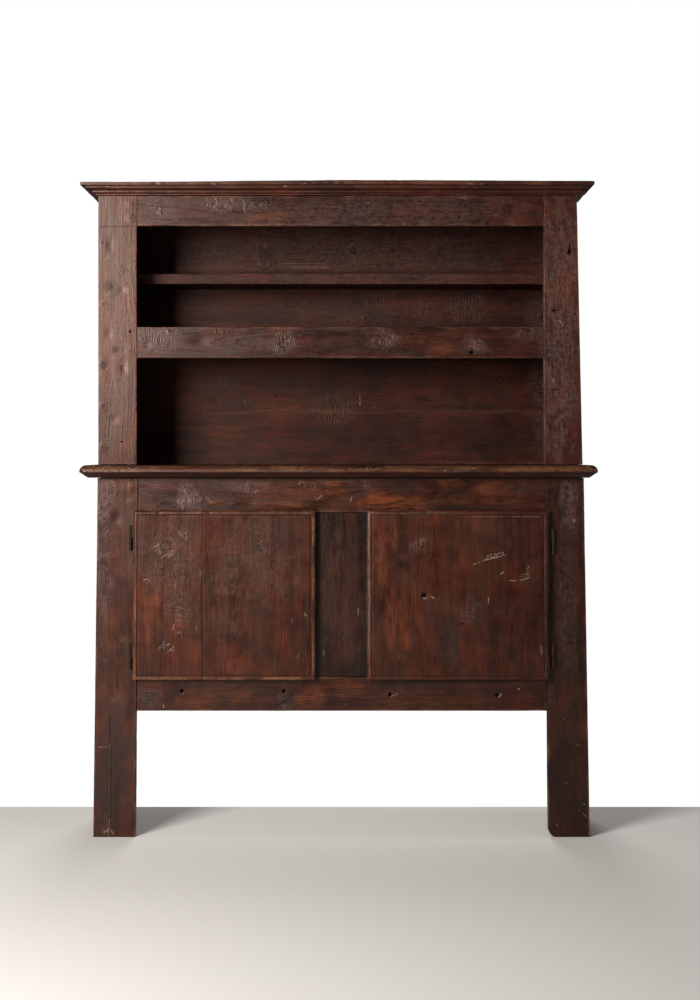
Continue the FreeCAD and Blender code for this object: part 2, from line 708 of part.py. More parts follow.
def add_cornice():
    """Top board with a mitred moulding along its front and both ends."""
    left = rack_left(rack_top)
    right = rack_right(rack_top)
    inner_left = left + cornice_seat
    inner_right = right - cornice_seat
    inner_front = rack_front + cornice_seat
    parts["top_board"] = box(inner_left, inner_right, inner_front, back_face,
                             rack_top, rack_top + top_board_thickness)
    steps = [(0.0, 0.0)]
    for step in cornice_section_shares:
        steps.append(tuple(share * (cornice_projection if i % 2 == 0 else cornice_height)
                           for i, share in enumerate(step)))
    steps.append((-cornice_seat, cornice_height))
    start = (-cornice_seat, 0.0)
    far = cornice_projection + cut_overrun
    deep = cornice_seat + cut_overrun
    front_run = prism(
        section_edges(start, steps, lambda out, up: FreeCAD.Vector(left - far, rack_front - out,
                                                                   rack_top + up)),
        OUTWARD_RIGHT * (right - left + 2 * far))
    left_run = prism(
        section_edges(start, steps, lambda out, up: FreeCAD.Vector(left - out, rack_front - far,
                                                                   rack_top + up)),
        TO_BACK * (back_face - rack_front + far))
    right_run = prism(
        section_edges(start, steps, lambda out, up: FreeCAD.Vector(right + out, rack_front - far,
                                                                   rack_top + up)),
        TO_BACK * (back_face - rack_front + far))
    no_radii = (0, 0, 0, 0)
    front_plan = ((left - far, rack_front - far), (right + far, rack_front - far),
                  (right - deep, rack_front + deep), (left + deep, rack_front + deep))
    left_plan = ((left - far, rack_front - far), (left + deep, rack_front + deep),
                 (left + deep, back_face), (left - far, back_face))
    right_plan = ((right + far, rack_front - far), (right + far, back_face),
                  (right - deep, back_face), (right - deep, rack_front + deep))
    for name, run, plan in (("cornice_front", front_run, front_plan),
                            ("cornice_left", left_run, left_plan),
                            ("cornice_right", right_run, right_plan)):
        column = prism(rounded_edges(plan, no_radii, level(rack_top)), UP * cornice_height)
        parts[name] = run.common(column)
    cornice_top = rack_top + cornice_height
    seat_middle = cornice_seat / 2
    length = cornice_height + nail_bite
    for share in cornice_front_nail_shares:
        x = at_share(left, right, share)
        drive_nail("top_nails", FreeCAD.Vector(x, rack_front + seat_middle, cornice_top), DOWN,
                   length, ("cornice_front", "rack_top_rail"))
    for share in cornice_side_nail_shares:
        y = at_share(rack_frame_back, back_inner, share)
        drive_nail("top_nails", FreeCAD.Vector(left + seat_middle, y, cornice_top), DOWN, length,
                   ("cornice_left", "rack_side_left"))
        drive_nail("top_nails", FreeCAD.Vector(right - seat_middle, y, cornice_top), DOWN, length,
                   ("cornice_right", "rack_side_right"))
    board_seat = (cornice_seat + rack_side_thickness) / 2
    board_top = rack_top + top_board_thickness
    for share in top_board_nail_shares:
        y = at_share(rack_frame_back, back_inner, share)
        for x, side in ((left + board_seat, "rack_side_left"),
                        (right - board_seat, "rack_side_right")):
            drive_nail("top_nails", FreeCAD.Vector(x, y, board_top), DOWN,
                       top_board_thickness + nail_bite, ("top_board", side))


def grown_corners(corners, distance):
    """Corners of a counter-clockwise polygon with every side moved outwards."""
    count = len(corners)
    normals = []
    for i in range(count):
        run_x = corners[(i + 1) % count][0] - corners[i][0]
        run_z = corners[(i + 1) % count][1] - corners[i][1]
        size = math.hypot(run_x, run_z)
        normals.append((run_z / size, -run_x / size))
    grown = []
    for i in range(count):
        before = normals[i - 1]
        after = normals[i]
        reach = distance / (1 + before[0] * after[0] + before[1] * after[1])
        grown.append((corners[i][0] + reach * (before[0] + after[0]),
                      corners[i][1] + reach * (before[1] + after[1])))
    return grown


def door_edge_cutters(corners, front):
    """Cutters that round the front edges of a door and run a groove inside them."""
    outer = grown_corners(corners, 2 * cut_overrun)
    inner = grown_corners(corners, -door_groove_inset - door_groove_width)
    radius = door_edge_radius
    bulge = radius * (1 - math.sqrt(0.5))
    groove_start = door_groove_inset - door_groove_width / 2
    groove_end = door_groove_inset + door_groove_width / 2
    cutters = []
    for i in range(len(corners)):
        after = (i + 1) % len(corners)
        start = FreeCAD.Vector(corners[i][0], front, corners[i][1])
        end = FreeCAD.Vector(corners[after][0], front, corners[after][1])
        along = (end - start).normalize()
        inward = along.cross(TO_BACK) * -1
        beginning = start - along * (2 * cut_overrun)
        length = (end - start).Length + 4 * cut_overrun

        def place(inset, depth, beginning=beginning, inward=inward):
            return beginning + inward * inset + TO_BACK * depth

        rounding = section_edges(
            (-cut_overrun, -cut_overrun),
            ((-cut_overrun, radius), (0.0, radius), (bulge, bulge, radius, 0.0),
             (radius, -cut_overrun)), place)
        groove = section_edges(
            (groove_start, -cut_overrun),
            ((groove_start, 0.0), (door_groove_inset, door_groove_width / 2, groove_end, 0.0),
             (groove_end, -cut_overrun)), place)
        mitre = prism(rounded_edges((outer[i], outer[after], inner[after], inner[i]), (0, 0, 0, 0),
                                    upright(front - 2 * cut_overrun)),
                      TO_BACK * (door_thickness + 2 * cut_overrun))
        cutters.append(prism(rounding, along * length).common(mitre))
        cutters.append(prism(groove, along * length).common(mitre))
    return cutters


def add_door(side, hinge_edge, closing_x, closing_width, ledge_hinge_edge, ledge_free_x):
    """Door of two upright planks; side is left or right, where its hinges are."""
    front = base_front - door_seat_gap - door_thickness
    rear = base_front - door_seat_gap
    z0 = bottom_rail_top - door_bottom_lap
    z1 = top_rail_bottom + door_top_lap
    closing_edge = fixed(closing_x)
    toward_closing = 1 if side == "left" else -1
    seam = fixed(closing_x - toward_closing * closing_width)
    hinge_plank = side + "_door_hinge_plank"
    closing_plank = side + "_door_closing_plank"
    if side == "left":
        parts[hinge_plank] = board(hinge_edge, seam, front, rear, z0, z1)
        parts[closing_plank] = board(seam, closing_edge, front, rear, z0, z1)
        left, right = hinge_edge, closing_edge
    else:
        parts[hinge_plank] = board(seam, hinge_edge, front, rear, z0, z1)
        parts[closing_plank] = board(closing_edge, seam, front, rear, z0, z1)
        left, right = closing_edge, hinge_edge
    corners = ((left(z0), z0), (right(z0), z0), (right(z1), z1), (left(z1), z1))
    for cutter in door_edge_cutters(corners, front):
        cut_hole(cutter, hinge_plank, closing_plank)
    ledge_back = rear + ledge_thickness
    for name, low in (("upper", z1 - ledge_inset - ledge_height), ("lower", z0 + ledge_inset)):
        ledge = side + "_door_" + name + "_ledge"
        high = low + ledge_height
        middle = (low + high) / 2
        ends = (ledge_hinge_edge(middle), ledge_free_x)
        parts[ledge] = box(min(ends), max(ends), rear, ledge_back, low, high)
        for plank, x0, x1 in ((hinge_plank, ends[0], seam(middle)),
                              (closing_plank, seam(middle), ends[1])):
            for share in ledge_nail_shares:
                drive_nail(side + "_door_nails",
                           FreeCAD.Vector(at_share(x0, x1, share), ledge_back, middle), TO_FRONT,
                           ledge_thickness + ledge_nail_bite, (ledge, plank))


def knuckle(low, high, bore_radius, blade):
    """Half of a hinge at the origin: a bored knuckle with its blade."""
    barrel = cylinder(knuckle_radius, high - low, FreeCAD.Vector(0, 0, low), UP)
    bore = cylinder(bore_radius, high - low, FreeCAD.Vector(0, 0, low), UP)
    return barrel.fuse(blade).cut(bore)


def add_hinge(side, name, axis_x, z, door_edge_x, stile_inner_x):
    """Hinge with its lower half in the stile and its upper half in the door."""
    toward_door = 1 if side == "left" else -1
    axis = FreeCAD.Vector(axis_x, base_front - hinge_standoff, z)
    half = hinge_length / 2
    half_blade = blade_thickness / 2
    half_gap = knuckle_gap / 2
    prefix = side + "_" + name + "_hinge_"
    stile = "base_stile_" + side
    plank = side + "_door_hinge_plank"
    frame_reach = hinge_standoff + frame_blade_depth
    frame_blade = box(-half_blade, half_blade, 0.0, frame_reach, -half, -half_gap)
    frame_half = knuckle(-half, -half_gap, hinge_pin_radius + hinge_pin_fit, frame_blade)
    parts[prefix + "frame_blade"] = frame_half.translated(axis)
    door_reach = abs(door_edge_x - axis_x) + door_blade_grip
    x0, x1 = sorted((0.0, toward_door * door_reach))
    door_blade = box(x0, x1, -half_blade, half_blade, half_gap, half)
    door_half = knuckle(half_gap, half, hinge_pin_radius + hinge_pin_play, door_blade)
    parts[prefix + "door_blade"] = door_half.translated(axis)
    add_to_group("hinge_pins", cylinder(hinge_pin_radius, hinge_length,
                                        axis - UP * half, UP))
    grow = blade_clearance
    frame_slot = box(-half_blade - grow, half_blade + grow, 0.0, frame_reach + grow,
                     -half - grow, -half_gap + grow)
    cut_hole(frame_slot.translated(axis), stile)
    x0, x1 = sorted((0.0, toward_door * (door_reach + grow)))
    door_slot = box(x0, x1, -half_blade - grow, half_blade + grow, half_gap - grow, half + grow)
    cut_hole(door_slot.translated(axis), plank)
    rear = base_front - door_seat_gap
    inner_face = door_edge_x + toward_door * door_blade_grip / 2
    length = hinge_standoff - door_seat_gap + half_blade + pin_nail_bite
    frame_length = abs(stile_inner_x - axis_x) + half_blade + pin_nail_bite
    blade_middle_y = base_front + frame_blade_depth / 2
    for share in blade_nail_shares:
        nail_z = z + at_share(half_gap, half, share)
        drive_nail(side + "_door_nails", FreeCAD.Vector(inner_face, rear, nail_z), TO_FRONT,
                   length, (plank, prefix + "door_blade"), small=True)
        nail_z = z - at_share(half_gap, half, share)
        point = FreeCAD.Vector(stile_inner_x, blade_middle_y, nail_z)
        drive_nail("hinge_nails", point, OUTWARD_RIGHT * -toward_door, frame_length,
                   (stile, prefix + "frame_blade"), small=True)


def add_doors():
    """Both doors with their hinges."""
    z0 = bottom_rail_top - door_bottom_lap
    z1 = top_rail_bottom + door_top_lap
    middle = (z0 + z1) / 2
    left_edge = moved(base_left_inner, -left_door_stile_lap)
    right_edge = moved(base_right_inner, right_door_stile_lap)
    add_door("left", left_edge, centre_left(0.0) + door_centre_lap, left_closing_plank_width,
             moved(base_left_inner, ledge_hinge_clearance),
             centre_left(0.0) - ledge_free_clearance)
    add_door("right", right_edge, centre_right(0.0) - door_centre_lap, right_closing_plank_width,
             moved(base_right_inner, -ledge_hinge_clearance),
             centre_right(0.0) + ledge_free_clearance)
    left_axis = base_left_inner(middle) - left_hinge_inset
    right_axis = base_right_inner(middle) + right_hinge_inset
    for side, name, axis_x, z, edge, stile_edge in (
            ("left", "upper", left_axis, z1 - left_upper_hinge_drop, left_edge, base_left_inner),
            ("left", "lower", left_axis, z0 + left_lower_hinge_rise, left_edge, base_left_inner),
            ("right", "upper", right_axis, z1 - right_upper_hinge_drop, right_edge,
             base_right_inner),
            ("right", "lower", right_axis, z0 + right_lower_hinge_rise, right_edge,
             base_right_inner)):
        add_hinge(side, name, axis_x, z, edge(z), stile_edge(z))
    print("left hinge axis", left_axis, base_front - hinge_standoff)
    print("right hinge axis", right_axis, base_front - hinge_standoff)


def export_parts():
    """Cut the holes and write one file for each piece or group of fasteners."""
    os.makedirs("parts", exist_ok=True)
    for name, shape in parts.items():
        if isinstance(shape, list):
            shape = Part.makeCompound(shape)
        elif name in holes:
            shape = shape.cut(holes[name])
        solids = shape.Solids
        if not isinstance(parts[name], list):
            shape = solids[0] if len(solids) == 1 else shape
        print(name, len(solids), "solids, valid", shape.isValid())
        shape.exportStep(os.path.join("parts", name + ".step"))


add_base_frame()
add_base_case()
add_front_nails()
add_worktop()
add_rack_frame()
add_rack_case()
add_cornice()
add_doors()
export_parts()
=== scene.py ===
import json
import math
from contextlib import contextmanager
import bmesh
import bpy
import numpy as np
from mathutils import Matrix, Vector

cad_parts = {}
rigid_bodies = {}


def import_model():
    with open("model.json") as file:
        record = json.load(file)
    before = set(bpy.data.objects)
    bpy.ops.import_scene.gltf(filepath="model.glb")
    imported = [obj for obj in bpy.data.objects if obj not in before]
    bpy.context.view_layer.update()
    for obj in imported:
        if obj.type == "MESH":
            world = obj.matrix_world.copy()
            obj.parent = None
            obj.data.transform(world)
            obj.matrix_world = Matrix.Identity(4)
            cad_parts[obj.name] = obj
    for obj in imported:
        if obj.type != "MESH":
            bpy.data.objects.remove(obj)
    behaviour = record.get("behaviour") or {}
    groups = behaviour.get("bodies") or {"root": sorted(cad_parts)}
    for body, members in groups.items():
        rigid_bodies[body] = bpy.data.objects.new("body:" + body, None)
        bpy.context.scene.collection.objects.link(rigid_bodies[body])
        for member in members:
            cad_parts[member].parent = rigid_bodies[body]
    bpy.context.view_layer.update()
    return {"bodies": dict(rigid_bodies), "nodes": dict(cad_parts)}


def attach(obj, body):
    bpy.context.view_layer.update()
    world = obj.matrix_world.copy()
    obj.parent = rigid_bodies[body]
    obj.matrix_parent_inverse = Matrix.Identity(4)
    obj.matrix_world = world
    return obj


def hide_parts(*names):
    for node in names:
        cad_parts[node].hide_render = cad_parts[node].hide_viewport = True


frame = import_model()

# Lengths in the tables are millimetres; the meshes are made in metres.
MM = 0.001
X, Y, Z = 0, 1, 2

# Faces of the case, as in the frame
BASE_FRONT, BASE_BACK = -138.5, -111.5
RACK_FRONT, RACK_BACK = -108.5, -81.5
PANEL_FRONT, PANEL_BACK = 166.5, 186.5
BASE_TOP, WORKTOP_TOP, RACK_TOP = 970, 1005, 1736.4
BOTTOM_RAIL, TOP_RAIL = (340, 433), (876, BASE_TOP)
CASE_FOOT, FLOOR = 350, (376, 402)
GALLERY_RAIL, RACK_RAIL = (1294, 1379.6), (1652.7, RACK_TOP)
RACK_LEFT, RACK_RIGHT_TOP = -654.3, 647.2
# The patch in the left foot, and the worn corner of the right one
SPLICE_TOP, SPLICE_WIDTH = 246, 46.0
FOOT_ROUNDING = 23.0


def line(x_low, z_low, x_high, z_high):
    """X of a leaning edge at any height."""
    return lambda z: x_low + (x_high - x_low) * (z - z_low) / (z_high - z_low)


def shifted(edge, distance):
    return lambda z: edge(z) + distance


def upright(x):
    return lambda z: x + 0 * z


base_left = line(-663.5, 0, -651.4, BASE_TOP)
base_right = line(678.4, 0, 662.2, BASE_TOP)
base_left_inner = line(-548.8, 0, -542.0, BASE_TOP)
base_right_inner = line(565.0, 0, 558.0, BASE_TOP)
rack_left = upright(RACK_LEFT)
rack_right = line(663.2, WORKTOP_TOP, RACK_RIGHT_TOP, RACK_TOP)
rack_left_inner = upright(-548.1)
rack_right_inner = upright(556.0)


def field(seed):
    """A smooth random field: values from 0 to 1 at points, for a size of its blobs."""
    table = np.random.default_rng(seed).random((32, 32, 32))

    def value(points, size):
        q = np.asarray(points) / np.asarray(size, float)
        low = np.floor(q).astype(int)
        f = q - low
        f = f * f * (3 - 2 * f)
        a, b = low & 31, (low + 1) & 31
        total = 0
        for i, wx in ((a[:, 0], 1 - f[:, 0]), (b[:, 0], f[:, 0])):
            for j, wy in ((a[:, 1], 1 - f[:, 1]), (b[:, 1], f[:, 1])):
                for k, wz in ((a[:, 2], 1 - f[:, 2]), (b[:, 2], f[:, 2])):
                    total = total + table[i, j, k] * wx * wy * wz
        return total
    return value


def smooth(x, low, high):
    t = np.clip((x - low) / (high - low), 0, 1)
    return t * t * (3 - 2 * t)


# Where iron heads and pegs sit in the surfaces, read from the frame
def islands(node):
    """Points of each loose piece of a frame node."""
    mesh = frame["nodes"][node].data
    parent = list(range(len(mesh.vertices)))

    def root(i):
        while parent[i] != i:
            parent[i] = parent[parent[i]]
            i = parent[i]
        return i
    seen = {}
    for vertex in mesh.vertices:
        key = tuple(round(c, 5) for c in vertex.co)
        parent[vertex.index] = seen.setdefault(key, vertex.index)
    for edge in mesh.edges:
        parent[root(edge.vertices[0])] = root(edge.vertices[1])
    groups = {}
    for vertex in mesh.vertices:
        groups.setdefault(root(vertex.index), []).append(vertex.co[:])
    return [np.array(group) / MM for group in groups.values()]


def head_place(points):
    """Middle of the widest end of a nail."""
    low, high = points.min(0), points.max(0)
    axis = int(np.argmax(high - low))
    place = (low + high) / 2
    off = points - place
    off[:, axis] = 0
    reach = np.linalg.norm(off, axis=1)
    head = points[reach > reach.max() * 0.98][:, axis].mean()
    place[axis] = low[axis] if abs(head - low[axis]) < abs(head - high[axis]) else high[axis]
    return place


heads = [head_place(points) for kind in ("frame", "side", "back", "top", "left_door", "right_door", "hinge")
         for points in islands(kind + "_nails")]
pegs = []
for points in islands("rail_pegs"):
    low, high = points.min(0), points.max(0)
    pegs.append(np.array(((low[0] + high[0]) / 2, low[1] + 0.4, (low[2] + high[2]) / 2)))
fixings = np.array(heads + pegs)


# Meshes
def lattice(half, cell, rim):
    """Places along one side of a board, close together near its two edges."""
    rim = min(rim, half * 0.6)
    near = half - rim + rim * np.tan(np.radians((15, 30, 45)))
    count = max(1, round(2 * (half - rim) / cell))
    middle = np.linspace(-(half - rim), half - rim, count + 1)
    return np.concatenate((-near[::-1], middle, near))


def shell(xs, ys, zs):
    """Points and quads of the surface of a lattice box."""
    size = (len(xs), len(ys), len(zs))
    quads = []
    for axis in range(3):
        b, c = (axis + 1) % 3, (axis + 2) % 3
        ib, ic = np.meshgrid(np.arange(size[b] - 1), np.arange(size[c] - 1), indexing="ij")
        for side in (0, size[axis] - 1):
            corners = []
            for db, dc in ((0, 0), (1, 0), (1, 1), (0, 1)):
                index = [None] * 3
                index[axis] = np.full(ib.shape, side)
                index[b] = ib + db
                index[c] = ic + dc
                corners.append(((index[0] * size[1] + index[1]) * size[2] + index[2]).ravel())
            quad = np.stack(corners, 1)
            quads.append(quad if side else quad[:, ::-1])
    codes, inverse = np.unique(np.concatenate(quads), return_inverse=True)
    i, j, k = np.unravel_index(codes, size)
    return np.stack((xs[i], ys[j], zs[k]), 1), inverse.reshape(-1, 4)


def set_smooth(mesh):
    """Shades all faces smoothly."""
    mesh.polygons.foreach_set("use_smooth", np.ones(len(mesh.polygons), bool))


def add_object(name, data):
    obj = bpy.data.objects.new(name, data)
    bpy.context.scene.collection.objects.link(obj)
    return obj


def make_mesh(name, points, quads):
    """A smooth-shaded object from points in millimetres and quads."""
    mesh = bpy.data.meshes.new(name)
    mesh.vertices.add(len(points))
    set_points(mesh, points)
    mesh.loops.add(quads.size)
    mesh.loops.foreach_set("vertex_index", quads.astype(np.int32).ravel())
    mesh.polygons.add(len(quads))
    mesh.polygons.foreach_set("loop_start", np.arange(0, quads.size, 4, dtype=np.int32))
    mesh.update(calc_edges=True)
    mesh.validate()
    set_smooth(mesh)
    return add_object(name, mesh)


def from_bmesh(name, work):
    """A smooth-shaded object from a finished bmesh."""
    bmesh.ops.recalc_face_normals(work, faces=work.faces)
    mesh = bpy.data.meshes.new(name)
    work.to_mesh(mesh)
    work.free()
    set_smooth(mesh)
    return add_object(name, mesh)


def points_of(obj):
    """The points of a mesh in millimetres."""
    co = np.zeros(len(obj.data.vertices) * 3, np.float32)
    obj.data.vertices.foreach_get("co", co)
    return co.reshape(-1, 3).astype(float) / MM


def set_points(mesh, points):
    mesh.vertices.foreach_set("co", (points * MM).astype(np.float32).ravel())


@contextmanager
def changing(obj, name):
    """Values of an attribute of the points, three for each, to change in place."""
    data = obj.data.attributes[name].data
    values = np.zeros(len(data) * 3, np.float32)
    data.foreach_get("vector", values)
    yield values.reshape(-1, 3)
    data.foreach_set("vector", values)


def near_fixing(points):
    """How close each point is to an iron head or peg: 1 on it, 0 away from it."""
    low, high = points.min(0) - 20, points.max(0) + 20
    amount = np.zeros(len(points))
    for place in fixings[np.all((fixings > low) & (fixings < high), axis=1)]:
        distance = np.linalg.norm(points - place, axis=1)
        amount = np.maximum(amount, 1 - smooth(distance, 7, 16))
    return amount


# Dents and gouges that are big enough to show in the outline of the surface:
# middle X and Z, half length and half height, depth
dents = (
    (-455, 640, 30, 16, 1.2), (-440, 600, 12, 34, 1), (-402, 560, 30, 9, 0.9), (-330, 540, 16, 7, 1),
    (-250, 660, 10, 26, 0.8), (-180, 590, 22, 9, 0.9), (-480, 520, 18, 10, 1), (-455, 775, 14, 10, 1.1),
    (-205, 780, 11, 8, 1.2), (170, 760, 22, 9, 0.9), (232, 655, 7, 7, 1.6), (395, 762, 36, 8, 1.4),
    (470, 708, 20, 6, 1.3), (180, 520, 16, 24, 0.8), (330, 600, 26, 9, 0.7), (-380, 1340, 34, 16, 1.6),
    (-140, 1335, 24, 20, 1.7), (120, 1338, 26, 22, 1.7), (362, 1330, 12, 14, 2.4),
    (-300, 1352, 50, 6, 1), (-520, 1330, 8, 8, 1.4), (-240, 1700, 44, 14, 1.2), (30, 1690, 30, 10, 0.9),
    (300, 1700, 40, 12, 1), (-620, 1600, 10, 18, 1.3), (-590, 1480, 12, 9, 1.2),
    (-625, 1360, 8, 14, 1.4), (-585, 1270, 10, 22, 1), (-610, 1130, 14, 12, 1.2),
    (600, 1690, 9, 14, 1.5), (590, 1560, 12, 12, 1.1), (610, 1460, 10, 18, 1.3),
    (625, 1310, 12, 10, 1.3), (600, 1180, 16, 14, 1), (-430, 920, 40, 20, 1.2), (-240, 905, 24, 14, 1),
    (20, 930, 60, 18, 1), (260, 915, 40, 12, 0.9), (-600, 860, 14, 20, 1.2), (-620, 700, 12, 30, 1.1),
    (-590, 540, 14, 12, 1.3), (-610, 380, 12, 16, 1.4), (-590, 130, 12, 40, 1.2),
    (610, 850, 12, 22, 1.2), (640, 640, 9, 14, 1.4), (600, 520, 14, 26, 1), (615, 300, 12, 18, 1.3),
    (640, 120, 9, 30, 1.6), (-350, 385, 40, 9, 1.1), (40, 380, 60, 10, 1), (330, 395, 44, 9, 1.1),
)


def settle(points, outward, seed, wave, along):
    """Moves surface points inwards: planed waves, dents in what faces the front,
    and level seats for the iron."""
    noise = field(seed)
    size = np.full(3, 46.0)
    size[along] = 150.0
    waves = noise(points, size) * 0.7 + noise(points + 900, size / 2.3) * 0.3
    facing = outward[:, 1] < -0.7
    dented = np.zeros(len(points))
    for x, z, wide, tall, deep in dents:
        d = ((points[:, 0] - x) / wide) ** 2 + ((points[:, 2] - z) / tall) ** 2
        dented += np.where(facing, deep * np.exp(-1.6 * d), 0)
    depth = 0.4 + wave * waves + dented
    held = near_fixing(points)
    depth = depth * (1 - held) + 0.45 * held
    return points - outward * depth[:, None]


def box(left, right, y0, y1, z0, z1):
    """Middle and half size of a board between two edges that may lean."""
    middle = (z0 + z1) / 2
    centre = np.array(((left(middle) + right(middle)) / 2, (y0 + y1) / 2, middle))
    return centre, np.array((right(middle) - left(middle), y1 - y0, z1 - z0)) / 2


def rounded(points, half, r):
    """Points of a box brought to rounded edges, and the directions that they face."""
    core_half = half[None, :] - r[:, None]
    core = np.clip(points, -core_half, core_half)
    out = points - core
    outward = out / np.linalg.norm(out, axis=1)[:, None]
    return core + outward * r[:, None], outward


def lean(points, centre, half, left, right, edges=None):
    """Moves the points of a box between its two edges."""
    share = (points[:, 0] + half[0]) / (2 * half[0])
    place = points + centre
    x_left, x_right = left(place[:, 2]), right(place[:, 2])
    if edges:
        x_left, x_right = edges(place, x_left, x_right)
    place[:, 0] = x_left + share * (x_right - x_left)
    return place


def unlean(points, centre, half, left, right):
    """Where points that lean() moved were in the box."""
    result = points - centre
    width = right(points[:, 2]) - left(points[:, 2])
    result[:, 0] = ((points[:, 0] - left(points[:, 2])) / width - 0.5) * 2 * half[0]
    return result


def touching(inside, place, half, along, tight, reach):
    """Marks the points near each of the places where another piece meets a long edge:
    axis, side, low and high along the plank."""
    for axis, side, low, high in tight:
        there = inside[:, axis] * side > half[axis] - reach
        yield there & (place[:, along] > low) & (place[:, along] < high)


def plank(name, left, right, y0, y1, z0, z1, along, cell=5.0, radius=1.8, tight=(), seed=0,
          extra=None, edges=None, back_held=False):
    """A worn plank. extra adds mesh points on an axis, edges moves its sides, and a held
    back keeps its surface."""
    centre, half = box(left, right, y0, y1, z0, z1)
    end_radius, rim = 0.7, radius * 2.2
    axes = [lattice(h, cell, rim) for h in half]
    if extra:
        axis, places = extra
        axes[axis] = np.unique(np.concatenate((axes[axis], places)))
    points, quads = shell(*axes)
    noise = field(seed + 7)
    place = points + centre
    r = radius * (0.45 + 1.3 * noise(place, 31) ** 1.5)
    nick = noise(place + 500, (9, 9, 9)) * 0.6 + noise(place + 70, (40, 40, 40)) * 0.4
    r = np.minimum(r + radius * 1.6 * smooth(nick, 0.66, 0.8), rim)
    r = np.where(half[along] - np.abs(points[:, along]) < rim * 1.5, end_radius, r)
    for there in touching(points, place, half, along, tight, rim * 1.5):
        r = np.where(there, end_radius, r)
    points, outward = rounded(points, half, r)
    if back_held:
        outward = outward * np.array((1.0, 1.0, 0.0))
    place = lean(points, centre, half, left, right, edges)
    return make_mesh(name, settle(place, outward, seed, 0.9, along), quads), centre, half


def subtract(obj, cutters):
    """Cuts closed pieces out of a mesh."""
    for cutter in cutters:
        change = obj.modifiers.new("cut", "BOOLEAN")
        change.operation = "DIFFERENCE"
        change.solver = "EXACT"
        change.object = cutter
    bpy.context.view_layer.update()
    graph = bpy.context.evaluated_depsgraph_get()
    mesh = bpy.data.meshes.new_from_object(obj.evaluated_get(graph))
    obj.modifiers.clear()
    old = obj.data
    obj.data = mesh
    bpy.data.meshes.remove(old)
    for cutter in cutters:
        bpy.data.objects.remove(cutter)
    set_smooth(obj.data)


def ring(work, x, y, z, radii):
    """New mesh points round an axis that runs along Y."""
    angles = np.linspace(0, 2 * math.pi, len(radii), endpoint=False)
    return [work.verts.new(Vector((x + r * math.cos(a), y, z + r * math.sin(a))) * MM)
            for a, r in zip(angles, radii)]


def join_rings(work, rings):
    for low, high in zip(rings, rings[1:]):
        for i in range(len(low)):
            j = (i + 1) % len(low)
            work.faces.new((low[i], low[j], high[j], high[i]))
    work.faces.new(rings[-1])


def bore(x, z, front, radius, depth, seed):
    """A slightly uneven round hole from the front."""
    rng = np.random.default_rng(seed)
    angles = np.linspace(0, 2 * math.pi, 28, endpoint=False)
    uneven = 1 + 0.10 * np.sin(2 * angles + rng.random() * 6) + 0.05 * np.sin(5 * angles + rng.random() * 6)
    work = bmesh.new()
    rings = [ring(work, x, y, z, radius * uneven * scale)
             for y, scale in ((front - 4, 1.12), (front + 1.0, 1.0), (front + depth, 0.9))]
    join_rings(work, rings)
    work.faces.new(rings[0][::-1])
    return from_bmesh("bore", work)


